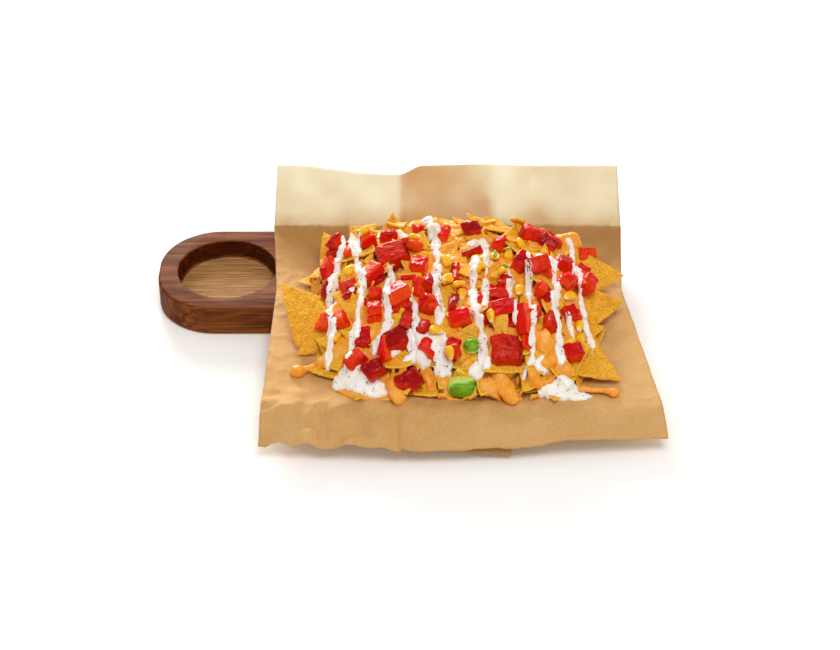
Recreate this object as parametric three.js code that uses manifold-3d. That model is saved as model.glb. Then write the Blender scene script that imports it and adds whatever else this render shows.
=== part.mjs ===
// Loaded nachos on a walnut serving board, with a paper liner under them.
// Units are millimetres and +Z is up. The origin is the centre of the underside of the board's
// main plate. +X runs along the board away from its tongue, and +Y runs to the liner's raised flap.
import * as THREE from 'three';
import { mergeVertices } from 'three/addons/utils/BufferGeometryUtils.js';
import { ConvexGeometry } from 'three/addons/geometries/ConvexGeometry.js';
import Module from 'manifold-3d';

const wasm = await Module();
wasm.setup();

// ---- driving dimensions ----
const GAP = 0.3; // left between pieces that touch

const PLATE_LENGTH = 232;
const PLATE_WIDTH = 210;
const BOARD_THICKNESS = 23;
const PLATE_CORNER = 8;
const BOARD_EDGE_ROUND = 2.2;
const TONGUE_WIDTH = 100;
const TONGUE_CORNER = 44; // its end is a little squarer than a half circle
const TONGUE_CENTRE = new THREE.Vector2(-168, PLATE_WIDTH / 2 - TONGUE_WIDTH / 2);

const RECESS_RADIUS = 36; // takes a dip cup
const RECESS_DEPTH = 14;
const RECESS_FILLET = 3;
const RECESS_LIP = 1.2;
const CUT_MARGIN = 5; // how far a cutter reaches past what it cuts

const PAPER_THICKNESS = 0.6;
const PAPER_TOP = BOARD_THICKNESS + GAP + PAPER_THICKNESS;
const PAPER_FOLD_Y = 103.5;
const PAPER_KINK_Y = 28; // where both side edges change direction
const PAPER_COLUMNS = 16;
const PAPER_ROWS = 12;
const FLAP_SHARE = 0.25; // of the rows, those of the flap
const FLAT_SHARE = 0.5; // and those that lie on the board
const FLAP_LENGTH = 50;
const FLAP_DIPS = [{ x: -40, depth: 7, halfWidth: 26 }, { x: -85, depth: 2.5, halfWidth: 22 }];
const FLAP_ANGLE = THREE.MathUtils.degToRad(45);
const FLAP_NARROWING = 0.5; // the raised flap's sides run in by this share of the flat sheet's flare
const OVERHANG = 29; // how far the liner reaches past the board's front edge
const FRONT_BULGE = { at: 0.36, halfWidth: 0.2, depth: 4 }; // across the front edge, from 0 to 1
const FRONT_TAPER = { from: 0.62, slope: 22 };
const OVERHANG_DROP = 13;
const CORNER_HOLD = { x: 90, halfWidth: 40, share: 0.25 }; // the right corner droops less
const TUCK_LEFT = -37; // the pleat under the overhang runs between these two X
const TUCK_RIGHT = 35;
const TUCK_LOWEST = 3.5;
const TUCK_ROOT = 6; // where the pleat joins the sheet, in front of the board
const TUCK_BELOW = 1.8; // the pleat's root, under the sheet's upper skin

const HEAP_LENGTH = 200;
const HEAP_WIDTH = 188;
const HEAP_CENTRE_Y = -3;
const HEAP_HEIGHT = 35;
const HEAP_BOXINESS = 4; // power of the superellipse that the heap's plan follows
const HEAP_RIM = 1.2;
const HEAP_FLOOR = PAPER_TOP + GAP;
const HEAP_RINGS = [0.18, 0.36, 0.53, 0.68, 0.8, 0.89, 0.96, 1];
const HEAP_SEGMENTS = 42;

const CHIP_THICKNESS = 1.8;
const CHIP_CORNER_CAP = 0.95; // how far a rounded corner reaches, of the sharp corner's distance
const CHIP_CORNER_POWER = 14; // how tightly the straight sides turn into the corners
const CHIP_RINGS = [0.55, 1];
const CHIP_SEGMENTS = 15;
const CHIP_CLEARANCE = 1.5 * GAP; // around a chip in the heap
const CHIP_CUTTER_SEGMENTS = 12;

const DICE_CHAMFER = 0.2; // of a die's half size
const DICE_CROWN = 1.1; // the skin side bulges to this, of the half height
const DICE_SINK = 0.3; // share of a die's height that lies in the heap
const DICE_SHEAR = 0.18; // the most that a die leans, as a share of its height
const DICE_TAPER = 0.1; // the most that one end is wider than the other
const DICE_TILT = 0.22; // the most that a die's top leans off the heap's normal
const SLOPE_STEP = 4; // either side of a die, where the heap's slope is taken

// A chunk of a green pepper's wall, and a small round slice end.
const CHUNK = { radius: 15, wall: 6, arc: THREE.MathUtils.degToRad(66), length: 18, place: [2, -96, 32] };
const ROUND_PIECE = { diameter: 11, x: 9, y: -75, lift: 3 };

const COLOURS = {
  walnut: { color: 0x6b3a26, roughness: 0.55 },
  paper: { color: 0xcfa56a, roughness: 0.9 },
  heap: { color: 0xe9a53a, roughness: 0.6 },
  chip: { color: 0xe2a52c, roughness: 0.75 },
  tomato: { color: 0xcc1a0c, roughness: 0.3 },
  pepper: { color: 0x8fae22, roughness: 0.4 },
};

const radians = THREE.MathUtils.degToRad;
const object = new THREE.Group();

function addMesh(name, geometry, look) {
  const mesh = new THREE.Mesh(geometry, new THREE.MeshStandardMaterial({ metalness: 0, ...look }));
  mesh.name = name;
  object.add(mesh);
  return mesh;
}

// ---- closed meshes and solids ----
function toSolid(geometry) {
  const bare = geometry.clone();
  bare.deleteAttribute('normal');
  bare.deleteAttribute('uv');
  const merged = mergeVertices(bare, 1e-4);
  return new wasm.Manifold(new wasm.Mesh({
    numProp: 3,
    vertProperties: new Float32Array(merged.attributes.position.array),
    triVerts: new Uint32Array(merged.index.array),
  }));
}

function toGeometry(solid) {
  const mesh = solid.getMesh();
  const geometry = new THREE.BufferGeometry();
  geometry.setAttribute('position', new THREE.BufferAttribute(new Float32Array(mesh.vertProperties), 3));
  geometry.setIndex(new THREE.BufferAttribute(new Uint32Array(mesh.triVerts), 1));
  return geometry;
}

function indexedGeometry(points, faces) {
  const geometry = new THREE.BufferGeometry();
  geometry.setAttribute('position', new THREE.Float32BufferAttribute(points.flatMap((p) => p.toArray()), 3));
  geometry.setIndex(faces.flat());
  return geometry;
}

// A closed slab over a grid: upper(i, j) and lower(i, j) give its two skins.
function gridSlab(columns, rows, upper, lower) {
  const points = [];
  const faces = [];
  const at = (skin, i, j) => skin * (columns + 1) * (rows + 1) + j * (columns + 1) + i;
  for (const skin of [upper, lower]) {
    for (let j = 0; j <= rows; j += 1) {
      for (let i = 0; i <= columns; i += 1) points.push(skin(i / columns, j / rows));
    }
  }
  const quad = (a, b, c, d) => faces.push([a, b, c], [a, c, d]);
  for (let j = 0; j < rows; j += 1) {
    for (let i = 0; i < columns; i += 1) {
      quad(at(0, i, j), at(0, i + 1, j), at(0, i + 1, j + 1), at(0, i, j + 1));
      quad(at(1, i, j), at(1, i, j + 1), at(1, i + 1, j + 1), at(1, i + 1, j));
    }
  }
  for (let i = 0; i < columns; i += 1) {
    quad(at(1, i, 0), at(1, i + 1, 0), at(0, i + 1, 0), at(0, i, 0));
    quad(at(0, i, rows), at(0, i + 1, rows), at(1, i + 1, rows), at(1, i, rows));
  }
  for (let j = 0; j < rows; j += 1) {
    quad(at(0, 0, j), at(0, 0, j + 1), at(1, 0, j + 1), at(1, 0, j));
    quad(at(1, columns, j), at(1, columns, j + 1), at(0, columns, j + 1), at(0, columns, j));
  }
  return indexedGeometry(points, faces);
}

// A closed disc-like solid: each skin has its own ring fractions, the last of which is 1.
function discSolid(segments, upperRings, upper, lowerRings, lower) {
  const points = [];
  const faces = [];
  const addSkin = (rings, place, faceUp) => {
    const first = points.length;
    const ring = (k, i) => first + 1 + k * segments + (i % segments);
    const face = (a, b, c) => faces.push(faceUp ? [a, b, c] : [a, c, b]);
    points.push(place(0, 0));
    for (const fraction of rings) {
      for (let i = 0; i < segments; i += 1) points.push(place(fraction, (i / segments) * 2 * Math.PI));
    }
    for (let i = 0; i < segments; i += 1) {
      face(first, ring(0, i), ring(0, i + 1));
      for (let k = 1; k < rings.length; k += 1) {
        face(ring(k - 1, i), ring(k, i), ring(k, i + 1));
        face(ring(k - 1, i), ring(k, i + 1), ring(k - 1, i + 1));
      }
    }
    return (i) => ring(rings.length - 1, i);
  };
  const top = addSkin(upperRings, upper, true);
  const bottom = addSkin(lowerRings, lower, false);
  for (let i = 0; i < segments; i += 1) {
    faces.push([bottom(i), bottom(i + 1), top(i + 1)], [bottom(i), top(i + 1), top(i)]);
  }
  return indexedGeometry(points, faces);
}

// ---- board: plate, tongue and dip-cup recess in one piece of walnut ----
function boardOutline(inset) {
  const right = PLATE_LENGTH / 2 - inset;
  const back = PLATE_WIDTH / 2 - inset;
  const corner = PLATE_CORNER - inset;
  const tongueCorner = TONGUE_CORNER - inset;
  const tongueLeft = TONGUE_CENTRE.x - TONGUE_WIDTH / 2 + inset;
  const tongueFront = TONGUE_CENTRE.y - TONGUE_WIDTH / 2 + inset;
  const left = -PLATE_LENGTH / 2 + inset;
  const outline = new THREE.Shape();
  outline.moveTo(left + corner, -back);
  outline.lineTo(right - corner, -back);
  outline.quadraticCurveTo(right, -back, right, -back + corner);
  outline.lineTo(right, back - corner);
  outline.quadraticCurveTo(right, back, right - corner, back);
  outline.lineTo(tongueLeft + tongueCorner, back);
  outline.absarc(tongueLeft + tongueCorner, back - tongueCorner, tongueCorner, Math.PI / 2, Math.PI);
  outline.absarc(tongueLeft + tongueCorner, tongueFront + tongueCorner, tongueCorner, Math.PI, 1.5 * Math.PI);
  outline.lineTo(left, tongueFront);
  outline.lineTo(left, -back + corner);
  outline.quadraticCurveTo(left, -back, left + corner, -back);
  return outline;
}

function recessCutter() {
  const floor = BOARD_THICKNESS - RECESS_DEPTH;
  const above = BOARD_THICKNESS + CUT_MARGIN;
  const profile = [new THREE.Vector2(0, floor), new THREE.Vector2(RECESS_RADIUS - RECESS_FILLET, floor)];
  for (const turn of [30, 60, 90]) {
    profile.push(new THREE.Vector2(
      RECESS_RADIUS - RECESS_FILLET + RECESS_FILLET * Math.sin(radians(turn)),
      floor + RECESS_FILLET - RECESS_FILLET * Math.cos(radians(turn)),
    ));
  }
  profile.push(new THREE.Vector2(RECESS_RADIUS, BOARD_THICKNESS - RECESS_LIP));
  profile.push(new THREE.Vector2(RECESS_RADIUS + RECESS_LIP, BOARD_THICKNESS));
  profile.push(new THREE.Vector2(RECESS_RADIUS + RECESS_LIP, above));
  profile.push(new THREE.Vector2(0, above));
  const cutter = new THREE.LatheGeometry(profile, 32);
  cutter.rotateX(Math.PI / 2);
  cutter.translate(TONGUE_CENTRE.x, TONGUE_CENTRE.y, 0);
  return cutter;
}

function addBoard() {
  const blank = new THREE.ExtrudeGeometry(boardOutline(BOARD_EDGE_ROUND), {
    depth: BOARD_THICKNESS - 2 * BOARD_EDGE_ROUND,
    bevelThickness: BOARD_EDGE_ROUND,
    bevelSize: BOARD_EDGE_ROUND,
    bevelSegments: 2,
    curveSegments: 5,
  });
  blank.translate(0, 0, BOARD_EDGE_ROUND);
  const board = toSolid(blank).subtract(toSolid(recessCutter()));
  addMesh('board', toGeometry(board), COLOURS.walnut);
}

// ---- paper liner: flat under the food, folded up at the back, drooping past the front ----
function paperEdges(y) {
  const behind = Math.max(y - PAPER_KINK_Y, 0);
  const before = Math.max(PAPER_KINK_Y - y, 0);
  return { left: -130 - 0.08 * behind - 0.022 * before, right: 120 + 0.075 * behind + 0.13 * before };
}

function bump(value, centre, halfWidth) {
  return Math.exp(-(((value - centre) / halfWidth) ** 2));
}

// The flap's upper edge dips in two places.
function flapLength(across) {
  const edges = paperEdges(PAPER_FOLD_Y);
  const x = THREE.MathUtils.lerp(edges.left, edges.right, across);
  return FLAP_DIPS.reduce((length, dip) => length - dip.depth * bump(x, dip.x, dip.halfWidth), FLAP_LENGTH);
}

// The front edge bows out left of its middle and runs back towards its right corner.
function frontReach(across) {
  const bulge = FRONT_BULGE.depth * bump(across, FRONT_BULGE.at, FRONT_BULGE.halfWidth);
  return OVERHANG + bulge - FRONT_TAPER.slope * Math.max(across - FRONT_TAPER.from, 0);
}

// The liner's upper skin. along runs 0 to 1 from the flap's top, over the fold, to the front edge.
function paperSkin(across, along, offset) {
  if (along < FLAP_SHARE) {
    const distance = flapLength(across) * (1 - along / FLAP_SHARE);
    const edges = paperEdges(PAPER_FOLD_Y - distance * FLAP_NARROWING);
    const y = PAPER_FOLD_Y + distance * Math.cos(FLAP_ANGLE) - offset * Math.sin(FLAP_ANGLE);
    const z = PAPER_TOP + distance * Math.sin(FLAP_ANGLE) + offset * Math.cos(FLAP_ANGLE);
    return new THREE.Vector3(THREE.MathUtils.lerp(edges.left, edges.right, across), y, z);
  }
  const boardFront = -PLATE_WIDTH / 2;
  const flat = Math.min((along - FLAP_SHARE) / FLAT_SHARE, 1);
  const past = Math.max((along - FLAP_SHARE - FLAT_SHARE) / (1 - FLAP_SHARE - FLAT_SHARE), 0);
  const y = THREE.MathUtils.lerp(PAPER_FOLD_Y, boardFront, flat) - past * frontReach(across);
  const edges = paperEdges(y);
  const x = THREE.MathUtils.lerp(edges.left, edges.right, across);
  const hold = 1 - CORNER_HOLD.share * bump(x, CORNER_HOLD.x, CORNER_HOLD.halfWidth);
  const drop = OVERHANG_DROP * past ** 1.3 * hold;
  return new THREE.Vector3(x, y, PAPER_TOP - drop + offset);
}

// A pleat of the sheet hangs under its front overhang: a triangle from the crease to the right.
function tuckSheet() {
  const frontY = -PLATE_WIDTH / 2 - OVERHANG;
  const rootY = -PLATE_WIDTH / 2 - TUCK_ROOT;
  const rootZ = PAPER_TOP - TUCK_BELOW;
  const place = (across, along, height) => {
    const x = THREE.MathUtils.lerp(TUCK_LEFT, TUCK_RIGHT, across);
    const frontZ = THREE.MathUtils.lerp(PAPER_TOP - OVERHANG_DROP, TUCK_LOWEST, across);
    const front = new THREE.Vector3(x, frontY, frontZ);
    return front.lerp(new THREE.Vector3(x, rootY, rootZ), along).add(new THREE.Vector3(0, 0, height));
  };
  return gridSlab(4, 2, (i, j) => place(i, j, 0), (i, j) => place(i, j, -PAPER_THICKNESS));
}

function addPaper() {
  const sheet = gridSlab(
    PAPER_COLUMNS, PAPER_ROWS,
    (i, j) => paperSkin(i, 1 - j, 0),
    (i, j) => paperSkin(i, 1 - j, -PAPER_THICKNESS),
  );
  addMesh('paper_liner', toGeometry(toSolid(sheet).add(toSolid(tuckSheet()))), COLOURS.paper);
}

// ---- heap: the mass of chips, melted cheese and small toppings ----
// The plan's outline waves in and out by these shares of its size.
function heapWaviness(angle) {
  const waves = [[0.022, 5, 0.6], [0.018, 9, 2], [0.012, 14, 0]];
  return waves.reduce((sum, [size, count, phase]) => sum + size * Math.sin(count * angle + phase), 1);
}

function heapReach(angle) {
  const u = Math.abs(Math.cos(angle) / (HEAP_LENGTH / 2)) ** HEAP_BOXINESS;
  const v = Math.abs(Math.sin(angle) / (HEAP_WIDTH / 2)) ** HEAP_BOXINESS;
  return heapWaviness(angle) * (u + v) ** (-1 / HEAP_BOXINESS);
}

function heapTop(x, y) {
  const back = y - HEAP_CENTRE_Y;
  const fraction = Math.min(Math.hypot(x, back) / heapReach(Math.atan2(back, x)), 1);
  const fall = 1 - fraction ** 4;
  const rise = HEAP_HEIGHT * fall ** 0.8 * (1 + (0.2 * back) / HEAP_WIDTH);
  const lumpsAlong = 1.3 * Math.sin(x / 7 + 1.3 * Math.sin(y / 17));
  const lumpsAcross = 1.2 * Math.sin(y / 8 + 1.1 * Math.sin(x / 13));
  return HEAP_FLOOR + HEAP_RIM + rise + (lumpsAlong + lumpsAcross) * fall;
}

function heapGeometry() {
  const place = (fraction, angle, height) => {
    const x = fraction * heapReach(angle) * Math.cos(angle);
    const y = HEAP_CENTRE_Y + fraction * heapReach(angle) * Math.sin(angle);
    return new THREE.Vector3(x, y, height(x, y));
  };
  return discSolid(
    HEAP_SEGMENTS,
    HEAP_RINGS, (fraction, angle) => place(fraction, angle, heapTop),
    [1], (fraction, angle) => place(fraction, angle, () => HEAP_FLOOR),
  );
}

// ---- chips that stand out of the heap ----
// A rounded triangle with one corner along +X, bowed across that corner's direction.
function chipReach(angle, side) {
  const sharp = side / Math.sqrt(3);
  const sector = (2 * Math.PI) / 3;
  const toMiddle = ((((angle - sector / 2) % sector) + sector * 1.5) % sector) - sector / 2;
  const edge = sharp / 2 / Math.cos(toMiddle);
  const cap = sharp * CHIP_CORNER_CAP;
  return (edge ** -CHIP_CORNER_POWER + cap ** -CHIP_CORNER_POWER) ** (-1 / CHIP_CORNER_POWER);
}

function chipLift(x, y, side, bow, twist) {
  return 4 * bow * (y / side) ** 2 + 4 * twist * (x / side) * (y / side);
}

function chipGeometry({ side, bow, twist }, grow, segments) {
  const skin = (height) => (fraction, angle) => {
    const reach = fraction * (chipReach(angle, side) + grow);
    const x = reach * Math.cos(angle);
    const y = reach * Math.sin(angle);
    return new THREE.Vector3(x, y, chipLift(x, y, side, bow, twist) + height);
  };
  const half = CHIP_THICKNESS / 2 + grow;
  return discSolid(segments, CHIP_RINGS, skin(half), CHIP_RINGS, skin(-half));
}

// tip is one corner's place, turn its direction seen from above, lean the rise of the far side,
// and fall the drop to the right, in degrees.
const CHIPS = [
  { tip: [-125, 5, 46], turn: 134, lean: 15, fall: 13, side: 62, bow: 3, twist: 4 },
  { tip: [-111, -54, 27], turn: 222, lean: 25, fall: 3, side: 48, bow: 3, twist: -3 },
  { tip: [-105, -70, 26.5], turn: 185, lean: 0, fall: -1, side: 48, bow: 2, twist: 0 },
  { tip: [-97, 66, 48], turn: 118, lean: 30, fall: -8, side: 44, bow: 3, twist: 3 },
  { tip: [-56, 72, 51], turn: 20, lean: 0, fall: -20, side: 26, bow: 3, twist: 0 },
  { tip: [-46, 70, 63], turn: 92, lean: 58, fall: 4, side: 44, bow: 4, twist: 3 },
  { tip: [-20, 82, 50], turn: 144, lean: -3, fall: 6, side: 57, bow: -2, twist: 0 },
  { tip: [59, 80, 43], turn: 30, lean: 6, fall: -6, side: 50, bow: 2, twist: 0 },
  { tip: [121, 25, 38], turn: 1, lean: 26, fall: 6, side: 57, bow: 2, twist: 2 },
  { tip: [119, -4, 36], turn: 13, lean: 24, fall: 9, side: 50, bow: 2, twist: 0 },
  { tip: [105, -23, 26], turn: 40, lean: 0, fall: -2, side: 40, bow: 2, twist: 0 },
  { tip: [111, -84, 28], turn: -36, lean: 4, fall: 6, side: 57, bow: 2, twist: 0 },
];

function placeChip(mesh, chip) {
  mesh.rotation.set(radians(chip.lean), radians(chip.fall), radians(chip.turn));
  const reach = chipReach(0, chip.side);
  const corner = new THREE.Vector3(reach, 0, 0).applyEuler(mesh.rotation);
  mesh.position.set(...chip.tip).sub(corner);
  mesh.updateMatrixWorld();
}

// ---- diced tomato and green pepper ----
// A chamfered block with a crowned top, its skin side. Each die is a little skewed.
function diceGeometry([length, width, height], skew, grow) {
  const half = new THREE.Vector3(length, width, height).multiplyScalar(0.5).addScalar(grow);
  const inner = grow > 0 ? 1 : 1 - DICE_CHAMFER;
  const points = [new THREE.Vector3(0, 0, half.z * DICE_CROWN)];
  for (const sx of [-1, 1]) {
    for (const sy of [-1, 1]) {
      for (const sz of [-1, 1]) {
        for (const [fx, fy, fz] of [[1, inner, inner], [inner, 1, inner], [inner, inner, 1]]) {
          points.push(new THREE.Vector3(sx * fx * half.x, sy * fy * half.y, sz * fz * half.z));
        }
      }
    }
  }
  for (const point of points) {
    point.x += skew * DICE_SHEAR * point.z;
    point.y *= 1 + (DICE_TAPER * skew * point.x) / half.x;
  }
  return new ConvexGeometry(points);
}

// x, y, length, width, height and turn of each die of tomato, and how far a chip lifts it.
const TOMATOES = [
  [-85, 40, 12, 10, 9, 60, 0], [-90, 25, 11, 9, 8, 50, 0], [-88, 0, 12, 9, 8, 80, 4],
  [-72, -20, 12, 10, 9, 75, 0], [-61, 31, 11, 8, 8, 85, 0], [-49, 43, 10, 9, 8, 10, 0],
  [-44, 13, 18, 16, 12, 12, 0], [-26, 51, 8, 7, 7, 35, 0], [-10, 45, 13, 8, 8, 85, 0],
  [-27, 3, 13, 10, 9, 75, 0], [-58, -9, 14, 12, 10, 15, 0], [-19, -20, 13, 9, 9, 80, 0],
  [-40, -43, 16, 14, 11, 25, 0], [-18, -41, 12, 8, 9, 88, 0], [11, 47, 12, 9, 8, 20, 0],
  [32, 30, 10, 9, 9, 70, 0], [45, 8, 12, 9, 9, 60, 0], [33, -14, 12, 8, 8, 80, 0],
  [28, -32, 12, 8, 8, 5, 0], [55, 45, 17, 11, 10, 0, 0], [93, 43, 11, 9, 8, -30, 0],
  [76, 17, 14, 10, 9, 85, 0], [91, -2, 14, 9, 9, 75, 7], [76, -6, 13, 11, 9, 70, 0],
  [58, 0, 13, 10, 9, 10, 0], [60, -29, 16, 8, 9, -75, 0], [78, -37, 10, 8, 8, 20, 0],
  [63, -52, 14, 8, 9, 80, 0], [-90, -37, 11, 10, 8, 60, 4], [-79, -43, 12, 9, 9, 85, 0],
  [-65, -63, 13, 10, 8, 90, 0], [-69, -78, 13, 10, 9, 30, 0], [-57, -87, 12, 10, 9, 30, 0],
  [-57, -46, 14, 9, 9, 85, 0], [-42, -71, 15, 13, 10, 15, 0], [-21, -74, 12, 9, 9, -30, 0],
  [-34, -90, 15, 12, 10, 40, 0], [2, -53, 13, 11, 9, 5, 0], [-4, -76, 13, 8, 8, 80, 0],
  [31, -55, 14, 13, 10, 5, 0], [33, -77, 18, 17, 14, 5, 0], [46, -53, 12, 9, 9, 85, 0],
  [77, -71, 13, 10, 8, 25, 0],
];

// A die lies on the heap's slope, tilted a little by its number so that no two lie alike.
function placeOnHeap(mesh, [x, y, , , height, turn, lift], number) {
  const run = 2 * SLOPE_STEP;
  const normal = new THREE.Vector3(
    (heapTop(x - SLOPE_STEP, y) - heapTop(x + SLOPE_STEP, y)) / run + DICE_TILT * Math.sin(number * 2.3),
    (heapTop(x, y - SLOPE_STEP) - heapTop(x, y + SLOPE_STEP)) / run + DICE_TILT * Math.cos(number * 3.1),
    1,
  );
  normal.normalize();
  const lie = new THREE.Quaternion().setFromUnitVectors(new THREE.Vector3(0, 0, 1), normal);
  const spin = new THREE.Quaternion().setFromAxisAngle(new THREE.Vector3(0, 0, 1), radians(turn));
  mesh.quaternion.copy(lie.multiply(spin));
  mesh.position.set(x, y, heapTop(x, y) + lift).addScaledVector(normal, height * (0.5 - DICE_SINK));
  mesh.updateMatrixWorld();
}

// An arc of the fruit's wall, cut straight at both ends.
function pepperChunk({ radius, wall, arc, length }, grow) {
  const outline = new THREE.Shape();
  const half = arc / 2 + grow / radius;
  outline.absarc(0, 0, radius + grow, Math.PI / 2 - half, Math.PI / 2 + half);
  outline.absarc(0, 0, radius - wall - grow, Math.PI / 2 + half, Math.PI / 2 - half, true);
  const chunk = new THREE.ExtrudeGeometry(outline, {
    depth: length + 2 * grow, bevelEnabled: false, curveSegments: 6,
  });
  chunk.translate(0, -(radius - wall / 2), -length / 2 - grow);
  return chunk;
}

// A squashed ball.
function pepperRound({ diameter }, grow) {
  const ball = new THREE.IcosahedronGeometry(diameter / 2 + grow, 1);
  ball.scale(1, 0.9, 0.95);
  return ball;
}

// ---- assembly ----
const cutters = [];

function keepClear(geometry, mesh) {
  cutters.push(toSolid(geometry.applyMatrix4(mesh.matrixWorld)));
}

addBoard();
addPaper();

function numbered(name, index) {
  return `${name}_${String(index + 1).padStart(2, '0')}`;
}

CHIPS.forEach((chip, index) => {
  const mesh = addMesh(numbered('chip', index), chipGeometry(chip, 0, CHIP_SEGMENTS), COLOURS.chip);
  placeChip(mesh, chip);
  keepClear(chipGeometry(chip, CHIP_CLEARANCE, CHIP_CUTTER_SEGMENTS), mesh);
});

TOMATOES.forEach((die, index) => {
  const size = die.slice(2, 5);
  const skew = Math.sin(index * 1.7);
  const mesh = addMesh(numbered('tomato', index), diceGeometry(size, skew, 0), COLOURS.tomato);
  placeOnHeap(mesh, die, index + 1);
  keepClear(diceGeometry(size, skew, GAP), mesh);
});

const chunk = addMesh('pepper_1', pepperChunk(CHUNK, 0), COLOURS.pepper);
chunk.position.set(...CHUNK.place);
chunk.rotation.set(radians(150), radians(90), 0);
chunk.updateMatrixWorld();
keepClear(pepperChunk(CHUNK, GAP), chunk);

const roundPiece = addMesh('pepper_2', pepperRound(ROUND_PIECE, 0), COLOURS.pepper);
const roundHeight = heapTop(ROUND_PIECE.x, ROUND_PIECE.y) + ROUND_PIECE.lift;
roundPiece.position.set(ROUND_PIECE.x, ROUND_PIECE.y, roundHeight);
roundPiece.updateMatrixWorld();
keepClear(pepperRound(ROUND_PIECE, GAP), roundPiece);

const heap = cutters.reduce((solid, cutter) => solid.subtract(cutter), toSolid(heapGeometry()));
const largest = heap.decompose().sort((a, b) => b.volume() - a.volume())[0];
addMesh('nacho_heap', toGeometry(largest), COLOURS.heap);

export default object;
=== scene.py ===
"""Loaded nachos on a walnut board with a paper liner: the looks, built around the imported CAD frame.

Lengths are in millimetres, as in the part's source, until a mesh is made: add_mesh turns them into metres.
+X runs along the board away from its tongue, +Y towards the liner's raised flap and +Z up.
"""

import math
import random

import bpy
import numpy as np
from mathutils import Matrix, Vector, noise
from mathutils.bvhtree import BVHTree


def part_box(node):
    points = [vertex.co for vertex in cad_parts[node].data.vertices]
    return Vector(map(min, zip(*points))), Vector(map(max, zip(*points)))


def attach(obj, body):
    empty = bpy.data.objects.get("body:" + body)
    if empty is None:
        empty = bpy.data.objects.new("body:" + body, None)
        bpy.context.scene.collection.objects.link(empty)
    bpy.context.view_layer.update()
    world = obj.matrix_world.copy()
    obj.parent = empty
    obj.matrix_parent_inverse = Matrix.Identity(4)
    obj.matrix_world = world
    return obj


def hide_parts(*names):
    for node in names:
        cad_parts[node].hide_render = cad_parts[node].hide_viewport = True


MM = 0.001

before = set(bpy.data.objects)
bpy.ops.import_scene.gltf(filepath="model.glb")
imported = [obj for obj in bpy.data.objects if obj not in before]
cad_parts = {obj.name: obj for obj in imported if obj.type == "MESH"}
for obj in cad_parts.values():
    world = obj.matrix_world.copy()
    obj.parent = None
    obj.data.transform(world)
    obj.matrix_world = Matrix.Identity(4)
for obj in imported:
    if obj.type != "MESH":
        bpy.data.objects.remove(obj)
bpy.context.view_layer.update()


def node_box(name):
    """A CAD node's lowest and highest corners, in millimetres."""
    low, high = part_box(name)
    return np.array(low) / MM, np.array(high) / MM


BOARD_LOW, BOARD_HIGH = node_box("board")

# ---- sizes that the looks share with the part's source ----
PLATE_LEFT = -BOARD_HIGH[0]
BOARD_TOP = BOARD_HIGH[2]
PLATE_BACK = BOARD_HIGH[1]
PLATE_FRONT = BOARD_LOW[1]
TONGUE_WIDTH = 100
TONGUE_CORNER = 44
PLATE_CORNER = 8
TONGUE_X = BOARD_LOW[0] + TONGUE_WIDTH / 2
TONGUE_Y = PLATE_BACK - TONGUE_WIDTH / 2
RECESS_RADIUS = 36
RECESS_DEPTH = 14
RECESS_FILLET = 3
RECESS_LIP = 1.2
GAP = 0.3  # between things that lie on each other
PAPER_THICKNESS = 0.6
PAPER_TOP = BOARD_TOP + GAP + PAPER_THICKNESS
HEAP_FLOOR = PAPER_TOP + GAP
HEAP_LENGTH = 200
HEAP_WIDTH = 188
HEAP_CENTRE_Y = -3
HEAP_HEIGHT = 35


# ---- meshes ----
def add_mesh(name, points, faces, material=None):
    """A smooth mesh object from millimetre points. It isn't yet a piece of the object."""
    mesh = bpy.data.meshes.new(name)
    mesh.from_pydata((np.asarray(points, float) * MM).tolist(), [], faces)
    mesh.update()
    mesh.shade_smooth()
    if material:
        mesh.materials.append(material)
    made = bpy.data.objects.new(name, mesh)
    bpy.context.scene.collection.objects.link(made)
    return made


def points_of(piece):
    """A mesh object's vertices as an array, in millimetres."""
    found = np.empty(len(piece.data.vertices) * 3, np.float32)
    piece.data.vertices.foreach_get("co", found)
    return found.reshape(-1, 3).astype(float) / MM


def normals_of(piece):
    """The direction in which each vertex faces."""
    found = np.empty(len(piece.data.vertices) * 3, np.float32)
    piece.data.vertex_normals.foreach_get("vector", found)
    return found.reshape(-1, 3).astype(float)


def move_points(piece, points):
    """Puts a mesh object's vertices at these places, in millimetres."""
    piece.data.vertices.foreach_set("co", (points * MM).astype(np.float32).ravel())
    piece.data.update()


def swell(piece, amount):
    """Moves each vertex outwards by what the function amount gives for the points."""
    points = points_of(piece)
    move_points(piece, points + normals_of(piece) * amount(points)[:, None])


def write_values(piece, name, values):
    """A number for each vertex, which a material reads by this name."""
    attribute = piece.data.attributes.new(name, "FLOAT", "POINT")
    attribute.data.foreach_set("value", np.asarray(values, np.float32))


def finish_piece(piece, slot, *nodes):
    """The piece rides on the one body and stands for these CAD nodes. slot is not used."""
    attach(piece, "root")
    if nodes:
        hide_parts(*nodes)
    return piece


def apply_modifiers(piece):
    """The piece's mesh becomes what its modifiers make of it."""
    graph = bpy.context.evaluated_depsgraph_get()
    made = bpy.data.meshes.new_from_object(piece.evaluated_get(graph), depsgraph=graph)
    old = piece.data
    piece.modifiers.clear()
    piece.data = made
    bpy.data.meshes.remove(old)
    made.name = piece.name
    made.shade_smooth()
    return piece


def remesh(piece, voxel, smoothing):
    """Closed, evenly meshed and rounded. Overlapping closed shells become one."""
    even = piece.modifiers.new("remesh", "REMESH")
    even.mode = "VOXEL"
    even.voxel_size = voxel * MM
    smooth = piece.modifiers.new("smooth", "SMOOTH")
    smooth.factor = 0.5
    smooth.iterations = smoothing
    return apply_modifiers(piece)


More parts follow.
